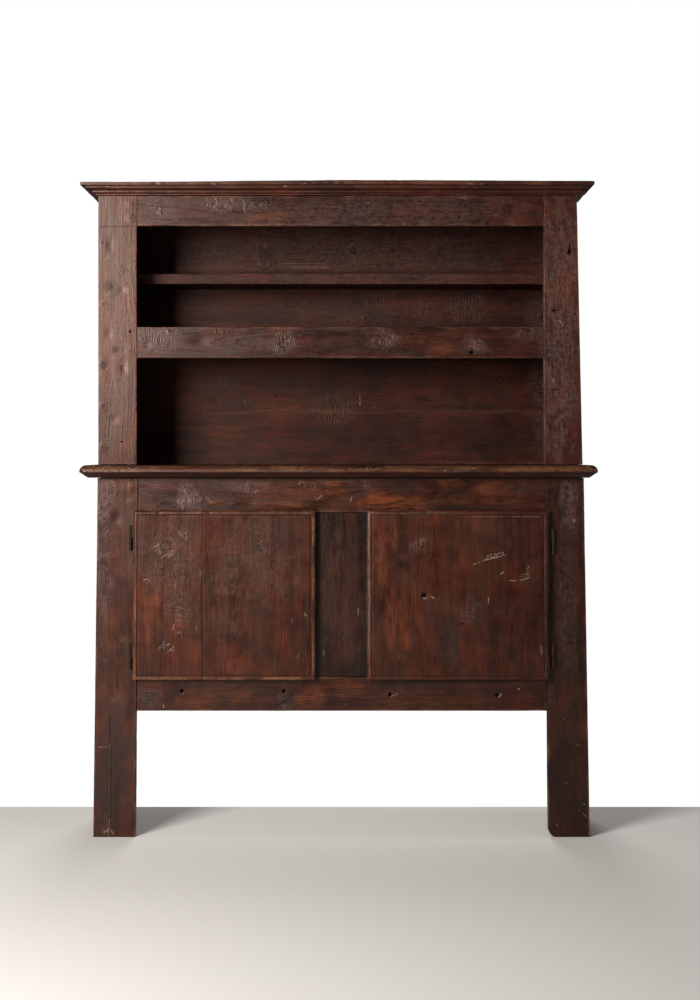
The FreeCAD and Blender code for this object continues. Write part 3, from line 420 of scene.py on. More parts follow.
# Patches of wear and of painted shade and highlight that the surface shaders paint, on surfaces that face the
# front:
# middle X and Z, half width and half height, strength
patches = {
    "ripple": (  # fans of planing ripples
        (-15, 1163, 75, 46, 1), (-271, 1174, 34, 23, 0.6), (-320, 1232, 29, 46, 0.35),
        (361, 1459, 75, 52, 0.9), (135, 1472, 56, 38, 0.75), (248, 1462, 50, 32, 0.7),
        (-486, 1357, 65, 27, 0.75), (-317, 1365, 30, 16, 0.52), (-149, 1338, 35, 38, 0.75),
        (117, 1349, 46, 33, 0.75), (-418, 612, 40, 32, 1), (350, 604, 24, 21, 0.8),
        (-636, 910, 27, 32, 0.18), (-412, 910, 38, 38, 0.7), (-240, 931, 22, 22, 0.4),
        (-83, 953, 32, 22, 0.7), (44, 958, 27, 22, 0.4), (-477, 354, 16, 8, 0.6),
    ),
    "scratch": (  # scuffs and torn grain
        (-464, 784, 38, 28, 0.9), (-413, 817, 16, 16, 1), (-458, 516, 27, 20, 1),
        (-426, 553, 14, 14, 0.7), (-516, 693, 14, 10, 1), (-206, 784, 16, 19, 1), (-85, 602, 7, 8, 0.8),
        (-107, 492, 13, 13, 0.4), (-370, 712, 8, 13, 0.5), (224, 790, 30, 24, 0.9),
        (173, 494, 16, 16, 0.5), (543, 510, 8, 16, 0.5), (511, 731, 8, 8, 0.5), (117, 1349, 38, 27, 0.8),
        (367, 1327, 33, 27, 1), (509, 1363, 38, 16, 0.5), (-459, 1365, 27, 16, 0.7),
        (-149, 1344, 24, 27, 0.6), (-216, 1600, 44, 44, 0.9), (36, 1614, 28, 28, 0.95),
        (71, 1450, 18, 30, 0.95), (28, 1410, 22, 12, 0.9), (401, 1476, 17, 23, 0.6),
        (108, 1165, 23, 12, 0.5), (-412, 910, 24, 35, 0.6), (-377, 918, 22, 27, 0.6),
        (-240, 940, 22, 22, 0.5), (-83, 953, 24, 19, 0.6), (36, 964, 22, 16, 0.5),
        (-64, 913, 11, 8, 0.7), (-645, 910, 19, 43, 0.4), (-610, 950, 11, 14, 0.5),
        (-301, 1711, 82, 22, 0.5), (-489, 1692, 14, 14, 0.6), (625, 1588, 11, 27, 0.39),
        (593, 1404, 14, 22, 0.39), (585, 1221, 14, 22, 0.39), (636, 1053, 8, 22, 0.28),
        (590, 1520, 16, 27, 0.22), (565, 370, 14, 38, 0.5),
    ),
    "glow": (  # worn orange-red places
        (-507, 621, 24, 43, 0.45), (-507, 535, 21, 38, 0.38), (-279, 467, 54, 21, 0.45),
        (-305, 508, 32, 27, 0.38), (-144, 535, 27, 43, 0.38), (-190, 669, 38, 54, 0.3),
        (-289, 770, 22, 3, 1), (-493, 642, 13, 15, 0.9), (-547, 629, 8, 107, 0.38),
        (-270, 575, 27, 27, 0.3), (12, 640, 66, 215, 0.3), (140, 585, 18, 100, 0.75),
        (170, 600, 9, 90, 0.6), (119, 749, 16, 107, 0.6), (146, 817, 13, 54, 0.7),
        (245, 857, 38, 24, 0.6), (192, 642, 21, 81, 0.5), (339, 749, 21, 54, 0.3),
        (178, 535, 21, 38, 0.7), (165, 902, 113, 22, 1), (98, 915, 38, 32, 0.8), (3, 931, 22, 22, 0.6),
        (-18, 945, 24, 27, 0.7), (-169, 896, 108, 14, 0.7), (-321, 902, 43, 14, 0.5),
        (408, 945, 59, 22, 0.5), (300, 958, 54, 14, 0.5), (368, 910, 162, 22, 0.3),
        (-385, 370, 54, 32, 0.6), (-280, 383, 54, 24, 0.4), (-78, 375, 49, 30, 0.8),
        (17, 397, 59, 27, 0.6), (246, 370, 162, 27, 0.3), (-569, 950, 22, 24, 0.5),
        (-618, 532, 27, 108, 0.22), (-596, 370, 22, 81, 0.35), (-187, 1681, 82, 14, 0.4),
        (302, 1686, 163, 10, 0.12), (-171, 1160, 86, 40, 0.5), (-314, 1102, 86, 40, 0.3),
        (261, 1188, 172, 86, 0.2), (-110, 1571, 88, 9, 0.5), (-257, 1476, 115, 29, 0.3),
        (275, 1317, 38, 22, 0.4), (-644, 1370, 9, 130, 0.4),
    ),
    "grey": (  # greyish bloom of the wax, and painted sheen and highlights
        # Rows at (-604, 1371) and (-616, 1615) are painted sheen on the left rack stile; rows at (81, 654)
        # and (200, 875) are painted highlights on the left and upper edges of the right door
        (-604, 1371, 36, 330, 1), (-616, 1615, 43, 109, 0.8), (-486, 1344, 82, 38, 0.8),
        (-268, 1338, 109, 33, 0.4), (-149, 1338, 38, 38, 0.5), (117, 1349, 49, 33, 0.5),
        (367, 1333, 38, 33, 0.9), (509, 1357, 54, 22, 0.4), (-407, 915, 43, 46, 1),
        (-240, 950, 81, 22, 0.5), (3, 969, 108, 16, 0.4), (71, 950, 22, 27, 0.6),
        (-631, 910, 32, 81, 0.9), (-636, 694, 27, 162, 0.6), (-612, 262, 38, 189, 0.2),
        (-628, 100, 22, 135, 0.6), (624, 910, 32, 81, 0.9), (619, 640, 38, 216, 0.4),
        (-453, 749, 100, 110, 0.75), (-425, 620, 52, 60, 0.7), (200, 875, 130, 8, 0.8),
        (81, 654, 6, 280, 1), (-235, 740, 140, 140, 0.5), (-300, 590, 90, 60, 0.35),
        (-415, 610, 43, 38, 0.6), (-297, 696, 64, 75, 0.6), (-117, 749, 16, 107, 0.3),
        (350, 610, 38, 43, 0.6), (302, 535, 32, 81, 0.5), (224, 790, 38, 27, 0.4),
        (111, 776, 16, 38, 0.4), (-580, 180, 32, 190, 0.3), (-510, 375, 38, 32, 0.8),
        (-145, 375, 32, 27, 0.7), (602, 1371, 62, 430, 1), (200, 1690, 420, 52, 0.45),
        (-40, 1600, 560, 90, 0.95), (0, 1521, 660, 24, 1), (100, 1450, 340, 60, 0.6),
        (361, 1459, 86, 52, 0.7), (-15, 1163, 75, 52, 0.5), (-486, 1711, 49, 33, 0.5),
        (-301, 1711, 92, 24, 0.5),
    ),
    "dark": (  # soot and dark grime, and painted shade
        # The row at Z 1557 is painted shade above the upper shelf, the rows at Z 181 are painted shade on the
        # feet, and the row at Z 968 is painted shade under the worktop; the row at Z 351 darkens the lower
        # edge of the bottom rail
        (0, 1557, 540, 5, 0.9), (-627, 1490, 26, 18, 0.36), (-612, 1464, 14, 16, 0.25),
        (-605, 1317, 15, 18, 0.25), (-638, 1284, 17, 34, 0.4), (-636, 1164, 11, 20, 0.3),
        (-578, 1362, 9, 34, 0.25), (-566, 1290, 16, 9, 0.2), (-630, 1376, 11, 16, 0.25),
        (-330, 920, 240, 50, 0.12), (304, 548, 27, 97, 0.7), (-206, 784, 19, 21, 0.5),
        (-21, 640, 16, 162, 0.5), (-37, 505, 14, 54, 0.5), (-608, 181, 60, 216, 1),
        (624, 181, 43, 216, 0.51), (-466, 535, 20, 14, 0.5), (260, 390, 230, 34, 0.2),
        (8, 654, 66, 220, 0.25), (290, 535, 34, 90, 0.4), (-515, 381, 32, 24, 0.6),
        (-145, 370, 27, 24, 0.8), (359, 1311, 16, 14, 0.6), (28, 968, 554, 6, 0.6),
        (17, 351, 554, 4, 0.3),
    ),
}

# Knots on front surfaces: X, Z, radius
knots = (
    (-425, 553, 8), (-464, 783, 12), (-205, 783, 8), (-413, 817, 5), (173, 495, 7), (228, 655, 6),
    (457, 611, 4), (498, 612, 4), (-107, 492, 6), (359, 1311, 9), (585, 1425, 7), (625, 1583, 6),
    (-622, 1488, 10), (-605, 1317, 7), (-638, 1273, 8), (-638, 1164, 5), (-149, 1330, 9),
    (117, 1338, 10), (-209, 1711, 9), (79, 1716, 8), (-212, 1606, 15), (36, 1620, 9), (-182, 1200, 5),
    (-358, 1188, 8), (232, 1131, 8), (462, 1246, 9), (-612, 931, 6), (-634, 829, 7), (-631, 769, 6),
    (-510, 378, 9), (-132, 370, 10), (17, 532, 7), (-10, 815, 6), (638, 532, 7), (611, 316, 8),
    (-631, 478, 8),
)

# Single scratches, dark cracks and painted highlights on the front: X and Z of both ends, and width,
# which is negative for a crack
strokes = (
    (359, 737, 371, 740, 2.8), (383, 747, 441, 761, 3.6), (396, 761, 438, 769, 2),
    (443, 769, 440, 763, 2), (433, 711, 444, 718, 3.2), (457, 694, 477, 694, 3.2),
    (486, 696, 500, 697, 2.6), (500, 697, 514, 704, 2.4), (487, 708, 513, 715, 1.6),
    (505, 722, 512, 735, 1.6), (402, 650, 402, 633, 2.8), (226, 647, 238, 645, 3),
    (247, 653, 257, 646, 3.4), (543, 521, 545, 494, 2.2), (659, 92, 664, 86, 2.4),
    (648, 73, 652, 69, 2.2), (664, 60, 667, 55, 2.2), (673, 9, 679, 9, 4), (608, 146, 620, 147, 1.6),
    (620, 108, 624, 106, 2), (587, 35, 591, 32, 2), (-616, 20, -606, 8, 4), (634, 858, 637, 849, 3.2),
    (639, 857, 640, 847, -3), (643, 252, 646, 246, 3), (-479, 754, -455, 769, 1.8),
    (-457, 757, -445, 766, 2.4), (-412, 824, -408, 808, 1.6), (-444, 720, -438, 698, -2.2),
    (-440, 688, -438, 674, 2), (-526, 693, -515, 700, 2.4), (-512, 694, -504, 687, 2),
    (-93, 610, -88, 599, 2.4), (-128, 592, -124, 582, 1.8), (-446, 559, -442, 578, 2.4),
    (-383, 575, -382, 561, 2), (-453, 514, -444, 501, 1.8), (223, 655, 235, 655, -11),
    (326, 577, 337, 579, -3), (52, 618, 53, 597, 2.8), (-41, 505, -41, 489, 3),
    (-423, 902, -421, 886, 2.8), (-61, 910, -45, 923, 2.4), (30, 904, 36, 918, 2.4),
    (-350, 902, -342, 907, 3.2), (-229, 929, -218, 937, 2.6), (-361, 921, -350, 907, 2),
    (-107, 950, -102, 967, 2), (-610, 948, -599, 950, 2.6), (-634, 896, -623, 907, 2),
    (140, 379, 160, 388, 2.8), (431, 375, 439, 389, 3.4), (-475, 362, -472, 348, 3),
    (14, 357, 21, 360, 3), (483, 400, 489, 400, 4), (-151, 346, -142, 364, 1.8),
    (-617, 251, -618, 127, 3.2), (-618, 127, -619, 0, 3.2), (-631, 240, -618, 250, 6),
    (-636, 11, -620, 22, 6), (-618, 335, -617, 254, -1.8), (-175, 351, -134, 373, -2.2),
    (-134, 373, -113, 405, -2), (598, 1398, 609, 1382, 2.6), (582, 1241, 583, 1227, 2.2),
    (-652, 1652, -551, 1652, -0.8), (574, 1208, 601, 1210, -3.2), (630, 1610, 625, 1591, -4),
    (627, 1590, 624, 1576, -10), (581, 1428, 587, 1421, -9), (354, 1312, 365, 1307, -12),
    (-593, 1067, -586, 1067, -6), (-362, 1632, -360, 1610, 1.2), (-192, 1581, -24, 1580, 0.9),
    (-140, 1566, -26, 1568, 0.8), (-222, 1561, -204, 1566, -2.4), (-204, 1566, -194, 1580, -2.2),
    (-194, 1580, -178, 1584, -1.8), (59, 1209, 59, 1171, 3), (-566, 999, -550, 990, 2.6),
    (-550, 991, -531, 1002, 2.6), (-587, 1001, -566, 1007, 2.2), (-649, 994, -606, 1002, 2.2),
    (73, 991, 78, 1002, 2.4), (89, 989, 111, 999, 2), (661, 1002, 677, 993, 3),
    (-103, 997, -87, 1002, 1.8), (351, 999, 367, 994, 1.8), (345, 1763, 369, 1759, 2.6),
    (372, 1758, 391, 1762, 2.6), (313, 1760, 332, 1758, 2), (-104, 1760, -88, 1762, 2),
    # The pale strokes at X 80 and along Z 866 and 878 are painted highlights on the left and upper edges of
    # the right door
    (-346, 1762, -330, 1759, 1.8), (80, 876, 80, 830, 2.2), (80, 826, 80, 760, 1.7),
    (80, 750, 80, 640, 1.1), (80, 590, 80, 500, 1.1), (352, 866, 450, 866, 1.1),
    (456, 866, 545, 866, 1.1), (80, 878, 95, 878, 2.2), (80, 610, 80, 594, 1.8),
    (-375, 888, -372, 880, 2), (327, 1731, 346, 1728, 2.4),
)


def stroke_fields(points):
    """Signed distance from the line of the nearest scratch, place along it, and nearness."""
    across, along_it, near = np.full(len(points), 9.0), np.full(len(points), 3.0), np.zeros(len(points))
    best = np.full(len(points), 1e9)
    for x0, z0, x1, z1, width in strokes:
        half = math.hypot(x1 - x0, z1 - z0) / 2
        run = np.array((x1 - x0, z1 - z0)) / (2 * half)
        d = points[:, (0, 2)] - np.array(((x0 + x1) / 2, (z0 + z1) / 2))
        t = d @ run
        side = d @ np.array((-run[1], run[0]))
        gap = np.hypot(side, np.maximum(np.abs(t) - half, 0))
        closer = gap < best
        best = np.where(closer, gap, best)
        across = np.where(closer, side / abs(width), across)
        along_it = np.where(closer, t / half, along_it)
        near = np.where(closer, np.sign(width) * (1 - smooth(gap, 7, 12)), near)
    return np.stack((across, along_it, near), 1)


def random_knots(seed, low, high, per_area):
    """Knots scattered through a board."""
    rng = np.random.default_rng(seed)
    size = high - low
    flat = np.delete(size, int(np.argmin(size)))
    count = int(flat[0] * flat[1] / per_area + rng.random())
    return [(low + rng.random(3) * size, 4 + 7 * rng.random()) for i in range(count)]


def paint(obj, along, seed, shown=False, local=None, half=None, tone=0.0, ring_depth=90.0,
          edge_power=1.0, tight=(), marked=False):
    """Stores what the wood shader needs at every point: the place in the log with its rings,
    the knots, the worn edges, the patches of wear and of painted light and shade, and the scratches and
    painted highlights."""
    points = points_of(obj)
    low, high = points.min(0), points.max(0)
    middle, size = (low + high) / 2, high - low
    rng = np.random.default_rng(seed)
    noise = field(seed + 31)
    across = [a for a in range(3) if a != along]
    thin = across[int(np.argmin(size[across]))]
    wide = across[0] if across[1] == thin else across[1]

    def streaky(offset, length, width):
        return noise(points + offset, np.where(np.arange(3) == along, length, width))

    run = points[:, along] - middle[along]
    slant = rng.uniform(-0.02, 0.02)
    tilt = rng.uniform(0.015, 0.05) * rng.choice((-1, 1))
    bend = 14 * (noise(np.stack((run, run * 0, run * 0), 1), 300.0) - 0.5)
    u = points[:, wide] - middle[wide] - rng.uniform(-0.25, 0.25) * size[wide] - slant * run + bend
    v = points[:, thin] - middle[thin] + ring_depth * (0.4 + 0.8 * rng.random()) + tilt * run
    rings = np.hypot(u, v) + 16 * (streaky(300, 260.0, 60.0) - 0.5)

    knot = np.full(len(points), 1000.0)
    spots = [(np.array((x, low[1], z)), r) for x, z, r in knots
             if shown and low[0] < x < high[0] and low[2] < z < high[2]]
    spots += random_knots(seed + 3, low, high, 90000 if shown else 42000)
    for place, radius in spots:
        if shown and place[1] > low[1] + 1 and size[1] < 60:
            place[1] = high[1]
        elif not shown:
            place[thin] = low[thin] if rng.random() < 0.5 else high[thin]
        d = points - place
        d[:, thin] *= 0.55
        stretched = d.copy()
        stretched[:, along] /= 2.4
        near = np.linalg.norm(stretched, axis=1)
        rings += 2.2 * radius * np.exp(-(near / (radius * 2.0)) ** 2)
        d[:, along] /= 1.15
        knot = np.minimum(knot, np.linalg.norm(d, axis=1) / radius)

    blot = noise(points + 40, 34.0) * 0.6 + noise(points + 90, 15.0) * 0.4
    speckle = noise(points + 720, 80.0) * 0.6 + noise(points + 20, 25.0) * 0.4
    marks = {
        "ripple": (0.2 if shown else 0.6) * smooth(streaky(640, 160.0, 70.0), 0.74, 0.9),
        "scratch": (0.08 if shown else 0.16) * smooth(speckle, 0.62, 0.80),
        "glow": (0.25 if shown else 0.45) * smooth(streaky(810, 240.0, 60.0), 0.68, 0.92),
        "grey": np.zeros(len(points)),
        "dark": np.zeros(len(points)),
    }
    for kind, rows in patches.items() if shown else ():
        for x, z, wide_half, tall_half, strength in rows:
            d = np.hypot((points[:, 0] - x) / wide_half, (points[:, 2] - z) / tall_half)
            amount = strength * (1 - smooth(d + 0.9 * (blot - 0.5), 0.45, 1.15))
            marks[kind] = np.maximum(marks[kind], amount)

    edge = np.zeros(len(points))
    if half is not None:
        inside = local(points)
        gaps = (half - np.abs(inside))[:, across].max(axis=1)
        reach = 2.5 + 5 * noise(points + 111, 28.0)
        edge = np.clip(1 - gaps / reach, 0, 1) * smooth(noise(points + 222, 45.0), 0.25, 0.75)
        edge *= edge_power
        for there in touching(inside, points, half, along, tight, 12):
            edge = np.where(there, 0, edge)

    stroke = np.tile((9.0, 3.0, 0.0), (len(points), 1))
    if shown or marked:
        stroke = stroke_fields(points)
        stroke[:, 2] *= points[:, 1] < low[1] + 8
    for name, values in (
            ("log", (u * MM, v * MM, (run + rng.uniform(-4000, 4000)) * MM)),
            ("rings", (rings, knot, tone + 0.10 * (blot - 0.5))),
            ("wear", (edge, marks["scratch"], marks["ripple"])),
            ("tint", (marks["glow"], marks["grey"], marks["dark"])),
            ("stroke", stroke.T)):
        attribute = obj.data.attributes.new(name, "FLOAT_VECTOR", "POINT")
        attribute.data.foreach_set("vector", np.stack(values, 1).astype(np.float32).ravel())


made = {}
body_of_node = {node: body for body, empty in frame["bodies"].items()
                for node, obj in frame["nodes"].items() if obj.parent == empty}


def finish_piece(obj, node, slot):
    """Registers a piece that takes the place of a node of the frame."""
    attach(obj, body_of_node[node])
    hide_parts(node)
    made[node] = (obj, slot)


def add_plank(node, slot, left, right, y0, y1, z0, z1, along, seed, shown=False, tone=0.0,
              cutters=(), tight=(), **look):
    """Makes a plank, paints it and registers it in place of a node of the frame."""
    obj, centre, half = plank(node + "_wood", left, right, y0, y1, z0, z1, along,
                              seed=seed, tight=tight, **look)
    if cutters:
        subtract(obj, cutters)
    paint(obj, along, seed, shown, lambda points: unlean(points, centre, half, left, right), half,
          tone, tight=tight)
    finish_piece(obj, node, slot)


def face_board(node, left, right, heights, along, seed, y0=BASE_FRONT, y1=BASE_BACK, **look):
    """A board of the face that the photograph shows."""
    add_plank(node, "case_wood", left, right, y0, y1, *heights, along, seed, shown=True, **look)


def meeting(side, *rails):
    """Where rails meet the inner edge of a stile."""
    return [(X, side, low - 3, high + 3) for low, high in rails]


def stepped(place, x_left, x_right):
    """Leaves room for the patch in the outer half of the left foot."""
    return np.where(place[:, 2] < SPLICE_TOP - 0.05, x_left + SPLICE_WIDTH, x_left), x_right


# Cupboard frame
face_board("base_stile_left", base_left, base_left_inner, (0, BASE_TOP), Z, 11,
           tight=meeting(1, BOTTOM_RAIL, TOP_RAIL), edges=stepped,
           extra=(Z, np.array((245.6, 245.9, SPLICE_TOP, 246.4)) - BASE_TOP / 2))
face_board("base_stile_right", base_right_inner, base_right, (0, BASE_TOP), Z, 12,
           tight=meeting(-1, BOTTOM_RAIL, TOP_RAIL), tone=-0.15)

# The inner lower corner of the right foot is worn round
foot = made["base_stile_right"][0]
points = points_of(foot)
corner = np.stack((base_right_inner(points[:, 2]), 0 * points[:, 2]), 1) + FOOT_ROUNDING
aside = points[:, (0, 2)] - corner
squeeze = np.abs(aside).max(axis=1) / np.maximum(np.hypot(aside[:, 0], aside[:, 1]), 0.001)
squeeze = np.where((aside < 0).all(axis=1), squeeze, 1.0)
points[:, (0, 2)] = corner + aside * squeeze[:, None]
set_points(foot.data, points)

# The patch in the left foot shows raw wood along its cut
add_plank("foot_splice", "repair_wood", base_left, shifted(base_left, SPLICE_WIDTH), BASE_FRONT, BASE_BACK,
          0, SPLICE_TOP, Z, 13, shown=True, radius=1.2)
patch = made["foot_splice"][0]
points = points_of(patch)
raw = 1 - smooth(SPLICE_TOP - points[:, 2], 0.8, 2.0 + 5.0 * field(99)(points, 12.0))
raw *= smooth(field(98)(points, (13.0, 13.0, 40.0)), 0.3, 0.5) * smooth(points[:, 0], -652, -644)
bare = 1 - smooth(np.hypot((points[:, 0] + 630) / 16, (points[:, 2] - 12) / 16), 0.4, 1.1)
raw = np.maximum(raw, 0.5 * bare * smooth(field(97)(points, 8.0), 0.5, 0.7))
with changing(patch, "wear") as wear:
    wear[:, 0] = np.maximum(wear[:, 0] * 0.3, raw)

# Nail holes in the bottom rail: share of its length, and height
nail_holes = ((0.111, 394.2), (0.3595, 394.2), (0.6177, 384.84), (0.878, 384.06))
bores = [bore(base_left_inner(z) + (base_right_inner(z) - base_left_inner(z)) * share, z,
              BASE_FRONT, 4.9, 12, 40 + i) for i, (share, z) in enumerate(nail_holes)]
face_board("base_bottom_rail", base_left_inner, base_right_inner, BOTTOM_RAIL, X, 14,
           cutters=bores, tone=-0.06)
face_board("base_top_rail", base_left_inner, base_right_inner, TOP_RAIL, X, 15, tone=-0.06)
face_board("base_centre_board", upright(-73), upright(88), (BOTTOM_RAIL[1], TOP_RAIL[0]), Z, 16,
           y0=BASE_FRONT + 2, radius=0.7, tone=-0.45)


def rebated(inner_side, width, start):
    """Cuts the rebate for the back boards into the inner face of a side."""
    def edges(place, x_left, x_right):
        cut = width * ((place[:, 1] > PANEL_FRONT - 0.05) & (place[:, 2] > start))
        return (x_left, x_right - cut) if inner_side > 0 else (x_left + cut, x_right)
    return edges


def add_sides(name, left, right, width, y0, z0, z1, rebate, seed):
    """The two side boards of the cupboard or the rack."""
    extra = (Y, np.array((PANEL_FRONT - 0.1, PANEL_FRONT)) - (y0 + PANEL_BACK) / 2)
    for side, inner, a, b, number, tone in (("_left", 1, left, shifted(left, width), seed, 0.0),
                                            ("_right", -1, shifted(right, -width), right, seed + 1, -0.1)):
        add_plank(name + side, "case_wood", a, b, y0, PANEL_BACK, z0, z1, Z, number,
                  cell=7, extra=extra, edges=rebated(inner, *rebate), tone=tone)


def add_backs(name, left, right, boards, seams, seed, **look):
    """Back boards one above another."""
    for i, board in enumerate(boards):
        add_plank(name + board, "inner_wood", shifted(left, 13.5), shifted(right, -13.5),
                  PANEL_FRONT, PANEL_BACK, seams[i], seams[i + 1], X, seed + i, back_held=True, **look)


# Cupboard case
add_sides("base_side", base_left, base_right, 27, BASE_BACK, 0, BASE_TOP, (14, CASE_FOOT), 17)
inner_left, inner_right = shifted(base_left, 27.5), shifted(base_right, -27.5)
for name, y0, y1, seed in (("front", BASE_BACK, 38.5, 19), ("rear", 38.5, PANEL_FRONT, 20)):
    add_plank("cupboard_floor_" + name, "inner_wood", inner_left, inner_right, y0, y1, *FLOOR,
              X, seed, cell=12)
for name, left, right, seed in (("left", shifted(base_left, 27), shifted(base_left, 52), 21),
                                ("right", shifted(base_right, -52), shifted(base_right, -27), 22)):
    add_plank("floor_cleat_" + name, "inner_wood", left, right, -105.5, 160.5, CASE_FOOT, FLOOR[0],
              Y, seed, cell=8)
add_backs("base_back_", base_left, base_right, ("lower", "middle", "upper"),
          (CASE_FOOT, 567, 765.4, BASE_TOP), 23, cell=10, radius=1.0)

# Rack
rack_faces = {"y0": RACK_FRONT, "y1": RACK_BACK}
# The left rack stile is painted lighter, with a raised tone and greyish patches: painted sheen
face_board("rack_stile_left", rack_left, rack_left_inner, (WORKTOP_TOP, RACK_TOP), Z, 31,
           tight=meeting(1, RACK_RAIL, GALLERY_RAIL), tone=0.12,
           cutters=[bore(-566.1, 1365.9, RACK_FRONT, 2.7, 9, 60)], **rack_faces)
face_board("rack_stile_right", rack_right_inner, rack_right, (WORKTOP_TOP, RACK_TOP), Z, 32,
           tight=meeting(-1, RACK_RAIL, GALLERY_RAIL), tone=0.09, **rack_faces)
face_board("rack_top_rail", rack_left_inner, rack_right_inner, RACK_RAIL, X, 33, tone=-0.06, **rack_faces)
face_board("gallery_rail", rack_left_inner, rack_right_inner, GALLERY_RAIL, X, 34, tone=-0.08, **rack_faces)
add_sides("rack_side", rack_left, rack_right, 25, RACK_BACK, WORKTOP_TOP, RACK_TOP, (12, 1000), 35)
shelf_left, shelf_right = shifted(rack_left, 24), shifted(rack_right, -24)
add_plank("lower_shelf", "inner_wood", shelf_left, shelf_right, RACK_BACK, PANEL_FRONT, 1308, 1336,
          X, 37, cell=8)
add_plank("upper_shelf", "inner_wood", shelf_left, shelf_right, 1.5, PANEL_FRONT, 1505, 1535.5, X, 38, cell=7,
          radius=2.6, shown=True, tone=-0.02)
add_backs("rack_back_", rack_left, rack_right, ("lowest", "lower", "upper", "highest"),
          (WORKTOP_TOP, 1154.2, 1321.7, 1511.9, RACK_TOP), 39, shown=True, cell=7, tone=-0.05, radius=0.8)
add_plank("top_board", "inner_wood", upright(-642.3), upright(635.2), -96.5, PANEL_BACK, RACK_TOP, 1758.4,
          X, 45, cell=9)

# Doors: a thumb moulding and a groove run round their outer edges
DOOR = (-162.8, -138.8, 425.8, 882.4)
MOULDING = 8
GROOVE_PLACE, GROOVE_HALF, GROOVE_DEPTH = 12, 1.9, 1.7
rim_places = np.array((0, 0.15, 0.6, 1.4, 2.6, 4.2, 6, 8, 9.2, 10.1, 10.5, 11.2, 12, 12.8, 13.5, 13.9,
                       15, 17.5))
seam_places = np.array((0, 0.5, 1.2))


def moulding(distance):
    """Depth of the moulding and of the groove at a distance in from the door's edge."""
    depth = MOULDING - np.sqrt(MOULDING ** 2 - (MOULDING - np.clip(distance, 0, MOULDING)) ** 2)
    share = np.abs(distance - GROOVE_PLACE) / GROOVE_HALF
    groove = np.where(share < 1, GROOVE_DEPTH * np.sqrt(np.clip(1 - share ** 2, 0, 1)), 0)
    return depth, groove


def door_places(length, low, high):
    """Places along one side of a door plank, close together at a moulded end."""
    start, stop = [rim_places[-1] if moulded else 2.0 for moulded in (low, high)]
    inner = np.linspace(-length + start, length - stop, max(2, round((2 * length - start - stop) / 4.5)))
    first, last = [rim_places if moulded else seam_places for moulded in (low, high)]
    return np.unique(np.concatenate((first - length, inner, length - last)).round(4))


def door_plank(node, left, right, moulded, seed, tone, seam_depth, edge_rub_and_highlight):
    """Plank of a door; moulded is the side of its upright outer edge, -1 or 1, and the last
    argument the wear of the left, right, upper and lower edge, which on the right door also paints a
    highlight on the lit edges."""
    y0, _, z0, z1 = DOOR
    centre, half = box(left, right, *DOOR)
    points, quads = shell(door_places(half[0], moulded < 0, moulded > 0), np.linspace(-half[1], half[1], 7),
                          door_places(half[2], True, True))
    noise = field(seed + 5)
    seam = points[:, 0] * moulded < -(half[0] - 2.5)
    round_points, outward = rounded(points, half, np.full(len(points), 0.3))
    points = np.where((seam | (points[:, 1] > half[1] - 2))[:, None], round_points, points)
    place = lean(points, centre, half, left, right)
    distance = np.minimum(half[0] - points[:, 0] * moulded,
                          np.minimum(half[2] - points[:, 2], half[2] + points[:, 2]))
    flat = place.copy()
    flat[:, 1] = 0
    ragged = noise(flat, 26.0) * 0.7 + noise(flat + 60, 11.0) * 0.3
    depth, groove = moulding(np.maximum(distance + 1.7 * (ragged - 0.5) * smooth(distance, 0, 3), 0))
    worn = 0.45 + 0.75 * noise(flat + 200, 60.0)
    chip = 1.4 * smooth(noise(flat + 400, 17.0), 0.7, 0.9) * (1 - smooth(distance, 6, 10))
    from_seam = half[0] + points[:, 0] * moulded
    depth = depth + groove * np.clip(worn, 0, 1) + chip + seam_depth * (1 - smooth(from_seam, 0, 1.3))
    place[:, 1] += depth * np.clip((half[1] - points[:, 1]) / (2 * half[1]), 0, 1)
    outward[points[:, 1] < -half[1] + 0.01] = (0, -1, 0)
    outward[:, 0] = np.where(seam, 0, outward[:, 0])
    obj = make_mesh(node + "_wood", settle(place, outward, seed, 1.0, Z), quads)

    def local(points):
        result = unlean(points, centre, half, left, right)
        result[:, 0] = np.where(result[:, 0] * moulded < 0, result[:, 0] * 0.5, result[:, 0])
        result[:, 1] = np.where(result[:, 1] < 0, -half[1], result[:, 1])
        return result
    paint(obj, Z, seed, True, local, half, tone, ring_depth=70.0, edge_power=1.3)

    points = points_of(obj)
    x_inside = local(points)[:, 0]
    gap = np.minimum(half[0] - x_inside * moulded, half[2] - np.abs(points[:, 2] - centre[2]))
    on_front = points[:, 1] < y0 + 11
    # The groove of the moulding is painted darker: painted shade in it
    grime_and_shade = np.where(on_front, np.exp(-((gap - 12) / 1.8) ** 2), 0)
    from_seam = half[0] + x_inside * 2 * moulded
    lower = smooth(700 - points[:, 2], 0, 60)
    crack = (1 - smooth(from_seam, 0.5, 1.6)) * min(seam_depth, 1.0) * (0.55 + 0.45 * lower)
    with changing(obj, "tint") as tint:
        tint[:, 2] = np.maximum(tint[:, 2], np.maximum(0.7 * grime_and_shade, np.where(on_front, crack, 0)))
    rub = (1 - smooth(gap, 7.0, 10.5)) * (0.15 + 0.85 * smooth(noise(points + 77, 50.0), 0.3, 0.7))
    level = np.full(len(points), edge_rub_and_highlight[1] if moulded > 0 else edge_rub_and_highlight[0])
    level = np.where(points[:, 2] > z1 - 14, edge_rub_and_highlight[2], level)
    level = np.where(points[:, 2] < z0 + 14, edge_rub_and_highlight[3], level)
    with changing(obj, "wear") as wear:
        wear[:, 0] = np.maximum(wear[:, 0] * 0.6, level * np.where(on_front, rub, 0))
    finish_piece(obj, node, "door_wood")


